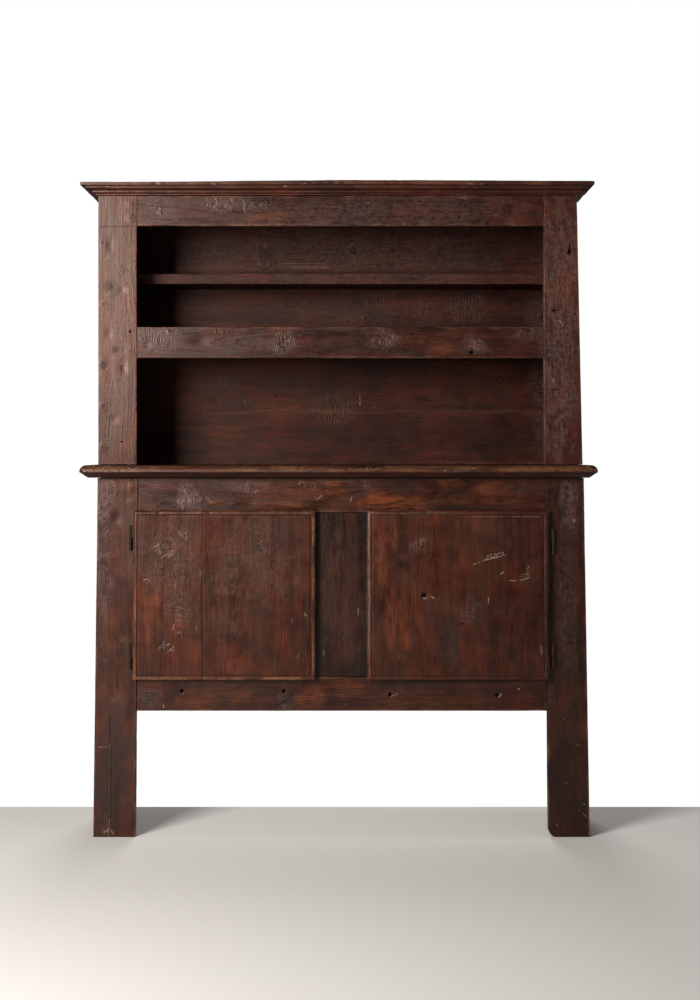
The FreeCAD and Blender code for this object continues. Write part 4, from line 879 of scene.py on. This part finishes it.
left_edge, right_edge = shifted(base_left_inner, -8.8), shifted(base_right_inner, 4.5)
left_seam, right_seam = upright(-366.3), upright(322.3)
door_plank("left_door_hinge_plank", left_edge, left_seam, -1, 51, 0.05, 1.0, (0.6, 0.8, 0.4, 0.9))
door_plank("left_door_closing_plank", left_seam, upright(-62.3), 1, 52, 0.0, 1.0, (0.6, 0.9, 0.45, 1.0))
# On the right door the left and upper edges are rubbed paler than the right and lower ones: wear, and a
# painted highlight on the sides the light falls on
door_plank("right_door_closing_plank", upright(77.3), right_seam, -1, 53, 0.0, 0.1, (0.32, 0.1, 0.22, 0.12))
door_plank("right_door_hinge_plank", right_seam, right_edge, 1, 54, -0.05, 0.1, (0.3, 0.1, 0.16, 0.12))
for side, low_end, high_end, seeds in (("left", shifted(base_left_inner, 14), upright(-79), (64, 60)),
                                       ("right", upright(94), shifted(base_right_inner, -14), (61, 57))):
    for name, z, seed in (("upper", 762.4, seeds[0]), ("lower", 485.8, seeds[1])):
        add_plank(side + "_door_" + name + "_ledge", "door_wood", upright(low_end(z + 30.0)),
                  upright(high_end(z + 30.0)), -138.8, -118.8, z, z + 60, X, seed, cell=8)


# Worktop: rounded nose above, bevel below, round plan corners at the front
WORKTOP_END, WORKTOP_SEAM = 697.0, 18.5
NOSE = 18.2
BEVEL_TOP, BEVEL_REACH = 985.2, 24
rim_steps = np.array((0, 0.3, 1.0, 2.0, 3.4, 5.2, 7.6, 10.6, 14.4, 19.0, 24.0, 30.0))


def plan_corners(x, y, y0):
    """For each front corner: its side and radius, its middle, the way to it, and who is in it."""
    for side, radius in ((-1, 16.0), (1, 22.0)):
        corner_x = side * (WORKTOP_END - radius)
        dx, dy = (x - corner_x) * side, (y0 + radius) - y
        yield side, radius, corner_x, dx, dy, (dx > 0) & (dy > 0)


def worktop_board(node, y0, y1, front_edge, seed):
    """One of the two boards. front_edge says that it has the rounded nose at its front."""
    x0, x1 = -WORKTOP_END, WORKTOP_END
    xs = np.unique(np.concatenate((x0 + rim_steps, np.arange(x0 + 36, x1 - 35, 6.0), x1 - rim_steps)))
    if front_edge:
        rows = (y0 + rim_steps, np.arange(y0 + 36, y1 - 3, 7.0), (y1 - 1, y1 - 0.4, y1))
    else:
        rows = ((y0, y0 + 0.4, y0 + 1), np.arange(y0 + 8, y1 - 3, 8.0), (y1 - 1, y1))
    points, quads = shell(xs, np.unique(np.concatenate(rows)), np.array((0.0, 1.0)))
    noise = field(seed)
    x, y, level = points[:, 0].copy(), points[:, 1].copy(), points[:, 2]
    d = np.minimum(x - x0, x1 - x)
    if front_edge:
        for side, radius, corner_x, dx, dy, inside in plan_corners(points[:, 0], points[:, 1], y0):
            reach = np.hypot(dx, dy)
            scale = np.where(inside & (reach > 0), np.maximum(dx, dy) / np.maximum(reach, 1e-6), 1)
            x = np.where(inside, corner_x + dx * scale * side, x)
            y = np.where(inside, y0 + radius - dy * scale, y)
        d = np.minimum(d, y - y0)
        for side, radius, corner_x, dx, dy, inside in plan_corners(x, y, y0):
            d = np.where(inside, radius - np.hypot(dx, dy), d)
    d = np.maximum(d, 0)
    flat = np.stack((x, y, x * 0), 1)
    slow = noise(flat, (150.0, 60.0, 50.0))
    quick = noise(flat + 80, (26.0, 20.0, 50.0))
    chips = noise(flat + 320, (14.0, 14.0, 50.0)) * 0.6 + noise(flat + 20, (70.0, 70.0, 50.0)) * 0.4
    chips = smooth(chips, 0.62, 0.78)
    rim = 1 - smooth(d, 6, 26)
    eaten = rim * (0.4 + 1.3 * slow + 0.7 * quick + 2.2 * chips)
    inward_x = np.where(x - x0 < 40, 1.0, np.where(x1 - x < 40, -1.0, 0.0))
    inward_x = inward_x * (1 - smooth(np.minimum(x - x0, x1 - x), 6, 26))
    inward_y = (1 - smooth(y - y0, 6, 26)) * front_edge
    top = WORKTOP_TOP - NOSE + np.sqrt(np.clip(NOSE ** 2 - (NOSE - np.clip(d, 0, NOSE)) ** 2, 0, None))
    low_edge = BEVEL_TOP - (BEVEL_TOP - BASE_TOP) * np.clip(d / BEVEL_REACH, 0, 1)
    waves = noise(flat + 500, (160.0, 50.0, 50.0)) * 0.9 + quick * 0.3
    held = near_fixing(np.stack((x, y, np.full(len(x), WORKTOP_TOP)), 1))
    held = np.maximum(held, smooth(y, 120, 150))
    sink = (0.35 + waves + 0.8 * chips * rim) * (1 - held) + 0.12 * held
    top = top - sink * smooth(d, 0, 8)
    bottom = low_edge + (0.3 + 0.5 * waves) * smooth(d, 0, 8)
    z = bottom + level * (top - bottom)
    from_seam = np.abs(y - (y1 if front_edge else y0))
    z = np.where(level > 0.5, z - 1.1 * (1 - smooth(from_seam, 0, 1.6)), z)
    points = np.stack((x + inward_x * eaten, y + inward_y * eaten, z), 1)
    if not front_edge:
        points[:, 1] = np.minimum(points[:, 1], y1 - 0.2)
    obj = make_mesh(node + "_wood", points, quads)
    paint(obj, X, seed, ring_depth=120.0, marked=front_edge)

    points = points_of(obj)
    gap = np.minimum(points[:, 0] - x0, x1 - points[:, 0])
    if front_edge:
        gap = np.minimum(gap, points[:, 1] - y0)
    blobs = noise(points + 9, (38.0, 14.0, 8.0)) * 0.6 + noise(points + 5, (120.0, 30.0, 30.0)) * 0.4
    uneven = 0.15 + 0.85 * smooth(blobs, 0.35, 0.65)
    rub = (1 - smooth(gap, 7, 15)) * smooth(points[:, 2], 984, 991) * uneven
    top_wear = 0.25 * (1 - smooth(gap, 20, 120)) * smooth(points[:, 2], 1000, 1004)
    scuffed = np.maximum(smooth(-points[:, 0], 540, 640), smooth(noise(points + 63, 45.0), 0.62, 0.8))
    with changing(obj, "wear") as wear, changing(obj, "tint") as tint:
        wear[:, 0] = np.maximum(rub, top_wear)
        wear[:, 1] = np.maximum(wear[:, 1], 0.9 * scuffed * (1 - smooth(gap, 14, 24)))
        # The bevel under the nose is painted darker: painted shade on its downward face
        tint[:, 2] = np.maximum(tint[:, 2], 0.7 * smooth(986 - points[:, 2], 0, 8))
    finish_piece(obj, node, "worktop_wood")


worktop_board("worktop_front_board", -PANEL_BACK, WORKTOP_SEAM, True, 71)
worktop_board("worktop_rear_board", WORKTOP_SEAM, PANEL_BACK, False, 72)

# Cornice: one moulded section with mitred corners. Each step of the section is an end
# point, or the middle and end of a curve, as shares of its reach and height.
REACH, HEIGHT = 42.5, 36.0
section = (
    (0.12, 0.00), (0.12, 0.11), (0.19, 0.11), (0.305, 0.165, 0.32, 0.27), (0.32, 0.34),
    (0.47, 0.34), (0.68, 0.42, 0.73, 0.58), (0.73, 0.67), (0.93, 0.67),
    (0.98, 0.685, 1.0, 0.73), (1.0, 0.95), (0.987, 0.987, 0.95, 1.0),
)


def section_points():
    """The section as closely spaced points of outward reach and height."""
    points = [(-12.0, 0.0), (0.0, 0.0)]
    for step in section:
        scaled = [(step[i] * REACH, step[i + 1] * HEIGHT) for i in range(0, len(step), 2)]
        if len(scaled) == 2:
            a, m, b = np.array(points[-1]), np.array(scaled[0]), np.array(scaled[1])
            control = 2 * m - (a + b) / 2
            for t in np.linspace(0, 1, 7)[1:]:
                points.append(tuple((1 - t) ** 2 * a + 2 * t * (1 - t) * control + t * t * b))
        else:
            points.append(scaled[0])
    points.append((-12.0, HEIGHT))
    dense = [np.array(points[0])]
    for a, b in zip(points, points[1:]):
        a, b = np.array(a), np.array(b)
        gap = np.linalg.norm(b - a)
        inner = [0.4 / gap, 1 - 0.4 / gap] if gap > 2.4 else []
        inner += list(np.linspace(0, 1, max(2, int(gap / 2.5) + 1))[1:-1]) if gap > 5 else []
        dense += [a + (b - a) * t for t in sorted(inner) + [1.0]]
    dense = np.array(dense)
    softened = dense.copy()
    softened[1:-1] = dense[1:-1] * 0.5 + (dense[:-2] + dense[2:]) * 0.25
    return softened


def front_place(share, out, up):
    """Place of a point of the front cornice's section, at a share of the length."""
    x0, x1 = RACK_LEFT - out, RACK_RIGHT_TOP + out
    return np.stack((x0 + (x1 - x0) * share, RACK_FRONT - out, RACK_TOP + up), 1)


def end_place(x, side):
    """The same for a returned end, which starts at x and faces the given side."""
    def place(share, out, up):
        y0 = RACK_FRONT - out
        return np.stack((x + side * out, y0 + (PANEL_BACK - 0.1 - y0) * share, RACK_TOP + up), 1)
    return place


def cornice_piece(node, place_of, length, along, seed, flip=False):
    """A length of the moulding. place_of puts its section in place, flip turns its faces."""
    profile = section_points()
    ends = np.array((0.4, 1.2)) / length
    stations = np.unique(np.concatenate((np.linspace(0, 1, round(length / 6.0)), ends, 1 - ends)))
    count = len(profile)
    share = np.repeat(stations, count)
    out, up = np.tile(profile[:, 0], len(stations)), np.tile(profile[:, 1], len(stations))
    flat = place_of(share, out, up * 0)
    noise = field(80)
    eaten = 0.35 + 0.9 * noise(flat, 60.0)
    eaten = eaten + 1.6 * smooth(noise(flat + 300, 15.0) * 0.6 + noise(flat + 90, 60.0) * 0.4, 0.62, 0.82)
    worn_out = np.where(out > 2, out - eaten * smooth(out, 4, 30), out)
    bow = 5.0 * smooth(-flat[:, 0], -50, 650) + 2.2 * smooth(flat[:, 0], 100, 650)
    bow = bow + 0.8 * noise(flat + 700, 90.0) + 0.6 * smooth(noise(flat + 800, 24.0), 0.75, 0.92)
    place = place_of(share, worn_out, up * (1 - (bow * smooth(up, 0, 36)) / 36))
    index = np.arange(len(stations) * count).reshape(len(stations), count)
    a, b = index[:-1], index[1:]
    quads = np.stack((a, np.roll(a, -1, 1), np.roll(b, -1, 1), b), -1).reshape(-1, 4)
    obj = make_mesh(node + "_wood", place, quads[:, ::-1] if flip else quads)
    work = bmesh.new()
    work.from_mesh(obj.data)
    work.verts.ensure_lookup_table()
    for row in (index[0], index[-1]):
        work.faces.new([work.verts[i] for i in row])
    bmesh.ops.triangulate(work, faces=[face for face in work.faces if len(face.verts) > 4])
    bmesh.ops.recalc_face_normals(work, faces=work.faces)
    work.to_mesh(obj.data)
    work.free()
    paint(obj, along, seed, tone=0.06, ring_depth=50.0, marked=along == X)
    rub = 0.32 * smooth(noise(points_of(obj) + 10, 60.0), 0.35, 0.75)
    with changing(obj, "wear") as wear:
        wear[:, 0] = np.where((out > 38) & (up > 24), rub, 0.0)
    finish_piece(obj, node, "case_wood")


cornice_piece("cornice_front", front_place, 1380, X, 81)
cornice_piece("cornice_left", end_place(RACK_LEFT, -1), 320, Y, 82, flip=True)
cornice_piece("cornice_right", end_place(RACK_RIGHT_TOP, 1), 320, Y, 83)

# Pegs: split squarish dowels, planed off with the frame
PEG_SIDES, PEG_RADIUS = 16, 3.45
work = bmesh.new()
rng = np.random.default_rng(5)
for x, y, z in pegs:
    turn = rng.random() * 6
    uneven = np.array([PEG_RADIUS * (0.96 + 0.07 * math.sin(4 * a + turn) - 0.03 * rng.random())
                       for a in np.linspace(0, 2 * math.pi, PEG_SIDES, endpoint=False)])
    tip = work.verts.new(Vector((x, y + 0.42, z)) * MM)
    rings = [ring(work, x, y + depth, z, uneven * scale) for depth, scale in
             ((0.30, 0.5), (0.34, 0.86), (0.9, 1.0), (10.0, 1.0), (26.0, 0.97), (26.8, 0.9))]
    for i in range(PEG_SIDES):
        work.faces.new((tip, rings[0][i], rings[0][(i + 1) % PEG_SIDES]))
    join_rings(work, rings)
peg_obj = from_bmesh("rail_pegs_wood", work)
paint(peg_obj, Y, 91, tone=-0.1, ring_depth=10.0)
finish_piece(peg_obj, "rail_pegs", "peg_wood")


# Materials
class Value:
    """An output of a node, which adds and multiplies as a number does."""

    def __init__(self, nodes, socket):
        self.nodes, self.socket = nodes, socket

    def __add__(self, other):
        return self.nodes.math("ADD", self, other)

    def __sub__(self, other):
        return self.nodes.math("SUBTRACT", self, other)

    def __mul__(self, other):
        return self.nodes.math("MULTIPLY", self, other)

    def __abs__(self):
        return self.nodes.math("ABSOLUTE", self)


class Nodes:
    """Short calls for building the node tree of a material or the world."""

    def __init__(self, owner):
        owner.use_nodes = True
        self.tree = owner.node_tree
        self.tree.nodes.clear()

    def put(self, socket, value):
        if isinstance(value, Value):
            self.tree.links.new(value.socket, socket)
        elif isinstance(value, tuple) and len(value) == 3 and socket.type == "RGBA":
            socket.default_value = value + (1.0,)
        else:
            socket.default_value = value

    def new(self, kind, settings=(), output=0, values=(), **inputs):
        """Adds a node and returns one of its outputs. Inputs that share a name come in values,
        as pairs of number and value; the others have _ for a space in their names."""
        node = self.tree.nodes.new("ShaderNode" + kind)
        for key, value in dict(settings).items():
            setattr(node, key, value)
        named = {key.replace("_", " "): value for key, value in inputs.items()}
        for key, value in (*values, *named.items()):
            self.put(node.inputs[key], value)
        return Value(self, node.outputs[output]) if node.outputs else node

    def math(self, operation, *values, clamp=False):
        return self.new("Math", {"operation": operation, "use_clamp": clamp}, 0, enumerate(values))

    def vector(self, operation, a, b):
        return self.new("VectorMath", {"operation": operation}, 0, ((0, a), (1, b)))

    def stretch(self, vector, *factors):
        return self.vector("MULTIPLY", vector, factors)

    def mix(self, amount, a, b, blend="MIX"):
        return self.new("Mix", {"data_type": "RGBA", "blend_type": blend}, 2, ((0, amount), (6, a), (7, b)))

    def between(self, value, low, high, to_low=0.0, to_high=1.0):
        return self.new("MapRange", {"interpolation_type": "SMOOTHSTEP"}, 0,
                        enumerate((value, low, high, to_low, to_high)))

    def noise(self, vector, scale, detail=2.0, rough=0.5, distortion=0.0, output=0):
        return self.new("TexNoise", (), output, Vector=vector, Scale=scale, Detail=detail,
                        Roughness=rough, Distortion=distortion)

    def ramp(self, value, *stops):
        node = self.tree.nodes.new("ShaderNodeValToRGB")
        elements = node.color_ramp.elements
        elements[0].position, elements[1].position = stops[0][0], stops[-1][0]
        elements[0].color, elements[1].color = stops[0][1] + (1,), stops[-1][1] + (1,)
        for position, color in stops[1:-1]:
            elements.new(position).color = color + (1,)
        self.put(node.inputs[0], value)
        return Value(self, node.outputs[0])

    def attribute(self, name):
        """An attribute of the points as a vector, and its three parts."""
        vector = self.new("Attribute", {"attribute_type": "GEOMETRY", "attribute_name": name}, "Vector")
        split = self.tree.nodes.new("ShaderNodeSeparateXYZ")
        self.put(split.inputs[0], vector)
        return [vector] + [Value(self, output) for output in split.outputs]


def wood(name, shades, rub, glow, grey, gloss, ring_gap=3.4, wear=1.0, contrast=1.0,
         ripple_gap=0.0075, ripple_power=1.0, shine=0.40, tear_size=(0.4, 1.0, 1.25)):
    """Old waxed softwood. shades run from the dark late wood to the pale early wood; rub, glow
    and the greyish colour are the colours of rubbed edges, worn warm places and the bloom of the wax, which
    also paints sheen."""
    material = bpy.data.materials.new(name + "_look")
    n = Nodes(material)
    dark, pale = shades[0], shades[2]
    soot_and_shade = tuple(1.7 * value for value in dark)
    scar_and_highlight, hole = (0.24, 0.165, 0.125), (0.004, 0.002, 0.0015)
    log, across, _, along = n.attribute("log")
    _, rings, knot, tone = n.attribute("rings")
    _, edge, scratch, ripple = n.attribute("wear")
    _, warm, bloom_and_sheen, grime_and_shade = n.attribute("tint")
    _, aside, far, near = n.attribute("stroke")

    def grain(share):
        """The place in the log, drawn out along the fibres."""
        return n.stretch(log, 1.0, 1.0, share)

    fibres = grain(0.045)
    coarse = n.noise(grain(0.09), 55.0, 3.0, 0.55, 0.4)
    fine = n.noise(fibres, 420.0, 3.0, 0.6)
    hair = n.noise(fibres, 1500.0, 2.0, 0.6)
    blotch = n.noise(log, 21.0, 4.0, 0.6, 0.6)
    cloud = n.noise(log, 6.5, 3.0, 0.55)
    dusty = n.noise(log, 90.0, 4.0, 0.65)

    # year rings, each with its own strength
    phase = rings * (1.0 / ring_gap) + coarse * 1.5
    turn = n.math("FRACT", phase)
    year = n.math("FRACT", n.math("FLOOR", phase) * 0.6180)
    late = n.between(turn, 0.45, 0.92) * n.between(turn, 1.0, 0.94) * (year * 0.6 + 0.4)

    shade = coarse * (0.58 * contrast) + fine * (0.50 * contrast) + 0.54 * (1 - contrast)
    shade = shade + (blotch - 0.5) * 0.50 + (cloud - 0.5) * 0.55 - late * 0.11 + tone - 0.06
    color = n.ramp(shade, (0.0, dark), (0.30, shades[1]), (0.55, pale), (0.85, shades[3]))
    hue = n.noise(grain(0.45), 19.0, 3.0, 0.55, 0.4)
    cool = n.mix(1.0, color, (0.82, 1.06, 1.14), "MULTIPLY")
    color = n.mix(n.between(hue, 0.46, 0.64), color, cool)
    red = n.mix(1.0, color, (1.16, 0.90, 0.80), "MULTIPLY")
    color = n.mix(n.between(hue, 0.50, 0.34), color, red)

    # worn warm places follow the fibres; the bloom of the wax, which also gives painted sheen, is dusty
    warm_mask = warm * n.between(fine * 0.8 + coarse * 0.3, 0.36, 0.78)
    bloom_and_sheen_mask = bloom_and_sheen * n.between(dusty * 0.6 + fine * 0.4, 0.38, 0.66)

    # knots: a soft dark rim and fine rings
    around = knot + (n.noise(log, 200.0, 3.0) - 0.5) * 1.1
    knot_rings = n.math("SINE", around * 13.0)
    inside = n.between(around, 1.1, 0.7)
    knot_wood = n.mix(n.between(knot_rings, -0.3, 0.8), dark, pale)
    rim = n.between(around, 0.6, 1.0) * n.between(around, 1.7, 1.05)

    # planing ripples across the grain; their troughs are painted dark and their crests in the rubbed colour,
    # as painted shade and highlight
    bend = n.noise(n.stretch(log, 0.6, 0.6, 1.0), 38.0) * 0.034
    wave = n.math("SINE", (along + bend + across * 0.12) * (2 * math.pi / ripple_gap))
    ripple_mask = ripple * n.between(n.noise(n.stretch(log, 0.55, 0.55, 1.0), 85.0), 0.34, 0.56)

    # torn and scuffed places: crumpled ridges whose crests are painted pale, scuffed wood and painted
    # highlight, and whose hollows are painted dark as painted shade; hairlines, pits
    twisted = n.vector("ADD", log, n.stretch(n.noise(log, 34.0, output=1), 0.03, 0.03, 0.03))
    tear = n.noise(n.stretch(twisted, *tear_size), 100.0, 3.0, 0.5, 0.5)
    ridge = n.math("SUBTRACT", 1.0, abs(tear - 0.5) * 10.0, clamp=True)
    torn = scratch * n.between(n.noise(log, 58.0), 0.50, 0.64)
    crest_highlight = torn * n.math("POWER", ridge, 3.0)
    hollow_shade = torn * n.between(tear, 0.40, 0.27)
    line_a = n.noise(n.stretch(twisted, 1.0, 1.0, 0.22), 150.0, 0.0)
    line_b = n.noise(n.stretch(twisted, 0.25, 0.6, 1.0), 170.0, 0.0)
    lines = n.math("MAXIMUM", n.between(abs(line_a - 0.5), 0.013, 0.004),
                   n.between(abs(line_b - 0.5), 0.011, 0.003))
    scratch_mask = lines * n.between(n.noise(log, 130.0, 1.0), 0.47, 0.56) * scratch
    pits = n.new("TexVoronoi", {"feature": "F1"}, "Distance", Vector=log, Scale=150.0, Randomness=1.0)
    pit = n.between(pits, 0.22, 0.08) * n.between(n.noise(log, 45.0, 1.0), 0.52, 0.60)
    pit_mask = pit * (scratch * 0.8 + 0.1)

    # single scratches, cracks and painted highlight strokes; cracks and holes are painted near black, which
    # in the holes is painted shade
    aside = abs(aside + (n.noise(log, 260.0) - 0.5))
    marked = n.between(aside, 0.55, 0.25) * n.between(abs(far), 1.0, 0.75)
    crack = marked * n.between(near, 0.0, -0.9)
    stroke = marked * n.between(near, 0.0, 0.9) * n.between(n.noise(log, 140.0), 0.30, 0.50)

    # rubbed edges, dark flecks along the fibres, and darkening that is partly grime and partly painted shade
    edge_mask = edge * n.between(dusty * 0.5 + fine * 0.5, 0.32, 0.62)
    flecks = n.between(n.noise(grain(0.06), 620.0, 1.0), 0.64, 0.75)
    grime_and_shade_mask = grime_and_shade * n.between(dusty, 0.2, 0.6, 0.65, 1.0)

    # Painted light among these layers: the ripples' dark troughs and pale crests, the pale crests and dark
    # hollows of torn places, the black of holes, and the greyish and dark channels where they carry painted
    # sheen and shade
    for mask, strength, over in (
            (warm_mask, 0.9, glow), (bloom_and_sheen_mask, 0.55, grey),
            (inside, 0.6, knot_wood), (rim, 0.55, dark),
            (ripple_mask * n.between(wave, -0.2, -1.0), 0.55, dark),
            (ripple_mask * n.between(wave, 0.35, 1.0), 0.22 * ripple_power, rub),
            (crest_highlight, 0.5, scar_and_highlight), (hollow_shade, 0.95, dark), (scratch_mask, 0.3, scar_and_highlight), (pit_mask, 0.8, dark),
            (crack, 0.92, hole), (stroke, 0.72, scar_and_highlight),
            (edge_mask, wear, rub), (flecks, 0.6, dark), (grime_and_shade_mask, 0.85, soot_and_shade)):
        color = n.mix(mask * strength, color, over)

    height = n.noise(fibres, 260.0, 1.0) * 0.30 + hair * 0.04 + late * 0.14
    height = height + wave * ripple_mask * (0.34 * ripple_power) + torn * tear * 2.8
    height = height - scratch_mask * 0.4 - (stroke + crack) * 0.8 - pit_mask * 0.9 - flecks * 0.15
    height = height + dusty * 0.05 + coarse * 0.22 + knot_rings * inside * 0.35 - rim * 0.35
    bump = n.new("Bump", Strength=0.75, Distance=0.0008, Height=height)

    # the wax is glossy in bands; holes and cracks don't shine
    bands = n.noise(grain(0.05), 75.0, 2.0, 0.55)
    roughness = blotch * 0.22 + (gloss - 0.11) + (bands - 0.5) * 0.30 + bloom_and_sheen_mask * 0.12 + grime_and_shade_mask * 0.18
    roughness = n.math("ADD", roughness - late * 0.06, edge_mask * 0.06, clamp=True)
    shader = n.new("BsdfPrincipled", Base_Color=color, Roughness=n.math("MAXIMUM", roughness, crack),
                   Metallic=crack, Normal=bump, Specular_IOR_Level=shine, Specular_Tint=(1.0, 0.74, 0.65))
    n.new("OutputMaterial", Surface=shader)
    return material


def iron(name):
    """Old forged iron: nearly black, hammered, with rust in the hollows."""
    material = bpy.data.materials.new(name)
    n = Nodes(material)
    place = n.new("TexCoord", (), "Object")
    blotch = n.noise(place, 160.0, 4.0, 0.6)
    grit = n.noise(place, 900.0, 3.0, 0.6)
    hammer = n.new("TexVoronoi", {"feature": "SMOOTH_F1"}, "Distance", Vector=place, Scale=260.0)
    color = n.ramp(blotch, (0.3, (0.005, 0.0037, 0.0032)), (0.5, (0.013, 0.0088, 0.0072)),
                   (0.72, (0.036, 0.018, 0.011)))
    color = n.mix(n.between(grit, 0.58, 0.72), color, (0.060, 0.026, 0.014))
    bump = n.new("Bump", Strength=0.7, Distance=0.0006, Height=hammer * 0.8 + grit * 0.35)
    shader = n.new("BsdfPrincipled", Base_Color=color, Roughness=blotch * 0.3 + 0.32, Normal=bump,
                   Metallic=0.4, Specular_IOR_Level=0.35, Specular_Tint=(1.0, 0.76, 0.66))
    n.new("OutputMaterial", Surface=shader)
    return material


# Shades from dark to pale, then the colours that lie over them
looks = {
    "case_wood": dict(
        shades=((0.0044, 0.0013, 0.0009), (0.0155, 0.0036, 0.0020), (0.037, 0.0081, 0.0040),
                (0.077, 0.0200, 0.0097)),
        rub=(0.15, 0.068, 0.036), glow=(0.175, 0.043, 0.011), grey=(0.108, 0.070, 0.064), gloss=0.35),
    "door_wood": dict(
        shades=((0.0046, 0.0013, 0.0008), (0.0175, 0.0038, 0.0019), (0.044, 0.0094, 0.0041),
                (0.090, 0.0225, 0.0092)),
        rub=(0.19, 0.086, 0.042), glow=(0.150, 0.036, 0.010), grey=(0.088, 0.057, 0.046), gloss=0.35,
        contrast=0.78, ripple_gap=0.0115, shine=0.36, tear_size=(1.0, 1.0, 0.75)),
    "worktop_wood": dict(
        shades=((0.0042, 0.0016, 0.0011), (0.0175, 0.0054, 0.0031), (0.042, 0.0132, 0.0068),
                (0.078, 0.027, 0.0140)),
        rub=(0.120, 0.050, 0.023), glow=(0.130, 0.036, 0.012), grey=(0.095, 0.055, 0.040), gloss=0.40),
    "inner_wood": dict(
        shades=((0.0042, 0.0011, 0.0008), (0.0150, 0.0031, 0.0018), (0.036, 0.0074, 0.0040),
                (0.070, 0.0165, 0.0086)),
        rub=(0.095, 0.040, 0.021), glow=(0.115, 0.027, 0.008), grey=(0.068, 0.043, 0.035), gloss=0.55,
        wear=0.7, ripple_gap=0.0080, ripple_power=2.2, shine=0.20),
    "repair_wood": dict(
        shades=((0.0042, 0.0015, 0.0010), (0.0150, 0.0041, 0.0024), (0.037, 0.0096, 0.0049),
                (0.076, 0.023, 0.0112)),
        rub=(0.40, 0.175, 0.075), glow=(0.34, 0.095, 0.022), grey=(0.088, 0.056, 0.044), gloss=0.38,
        wear=0.9),
    "peg_wood": dict(
        shades=((0.0038, 0.0014, 0.0010), (0.0100, 0.0032, 0.0021), (0.0215, 0.0066, 0.0039),
                (0.040, 0.0132, 0.0073)),
        rub=(0.08, 0.036, 0.020), glow=(0.080, 0.020, 0.008), grey=(0.066, 0.038, 0.029), gloss=0.45,
        ring_gap=1.6),
}
materials = {name: wood(name, **look) for name, look in looks.items()}
materials["dark_iron"] = iron("dark_iron_look")
for node, obj in frame["nodes"].items():
    if node in made:
        continue
    if node == "rack_dowels":
        made[node] = (obj, "peg_wood")
    else:
        made[node] = (obj, "dark_iron")
for obj, slot in made.values():
    obj.data.materials.clear()
    obj.data.materials.append(materials[slot])

# Floor, light and camera
floor_mesh = bpy.data.meshes.new("floor")
floor_mesh.from_pydata([(-4, -4, 0), (4, -4, 0), (4, 0.26, 0), (-4, 0.26, 0)], [], [(0, 1, 2, 3)])
floor_material = bpy.data.materials.new("floor_look")
n = Nodes(floor_material)
matte = n.new("BsdfPrincipled", Base_Color=(0.66, 0.64, 0.61), Roughness=0.85)
n.new("OutputMaterial", Surface=matte)
floor_mesh.materials.append(floor_material)
floor = add_object("floor", floor_mesh)

# Area lights: place, target, width and height, power, colour
for name, place, target, size, power, color in (
        ("key_light", (-1.90, -2.95, 1.82), (0, 0, 1.0), (1.20, 1.45), 188, (1.0, 0.97, 0.93)),
        ("fill_light", (2.6, -3.6, 1.6), (0, 0, 0.9), (2.0, 2.0), 12, (1.0, 0.97, 0.93)),
        ("back_light", (0.0, 3.6, 2.6), (0, 0.2, 1.0), (1.2, 1.6), 70, (1.0, 0.98, 0.96)),
        ("side_light", (3.4, 0.05, 1.7), (0.6, 0.05, 1.0), (0.5, 1.6), 14, (1.0, 0.98, 0.96))):
    light = bpy.data.lights.new(name, "AREA")
    light.shape = "RECTANGLE"
    light.size, light.size_y = size
    light.energy = power
    light.color = color
    obj = add_object(name, light)
    obj.location = place
    obj.rotation_euler = (Vector(target) - Vector(place)).to_track_quat("-Z", "Y").to_euler()

# A dim world that the camera sees as white
world = bpy.data.worlds.new("studio")
bpy.context.scene.world = world
n = Nodes(world)
seen_white = n.new("LightPath", (), "Is Camera Ray")
lighting = n.new("Background", Color=(0.93, 0.95, 1.0), Strength=0.07)
white = n.new("Background", Color=(1.0, 1.0, 1.0), Strength=1.0)
surface = n.new("MixShader", (), 0, enumerate((seen_white, lighting, white)))
n.new("OutputWorld", Surface=surface)

camera = bpy.data.cameras.new("camera")
camera.sensor_width = 36
camera.lens = 62.7
camera.shift_x = 0.001
camera.shift_y = -0.051
camera_object = add_object("camera", camera)
camera_object.location = (0.0277, -4.8385, 1.0476)
camera_object.rotation_euler = (math.radians(90), 0, 0)
bpy.context.scene.camera = camera_object
bpy.context.scene.view_settings.view_transform = "Standard"
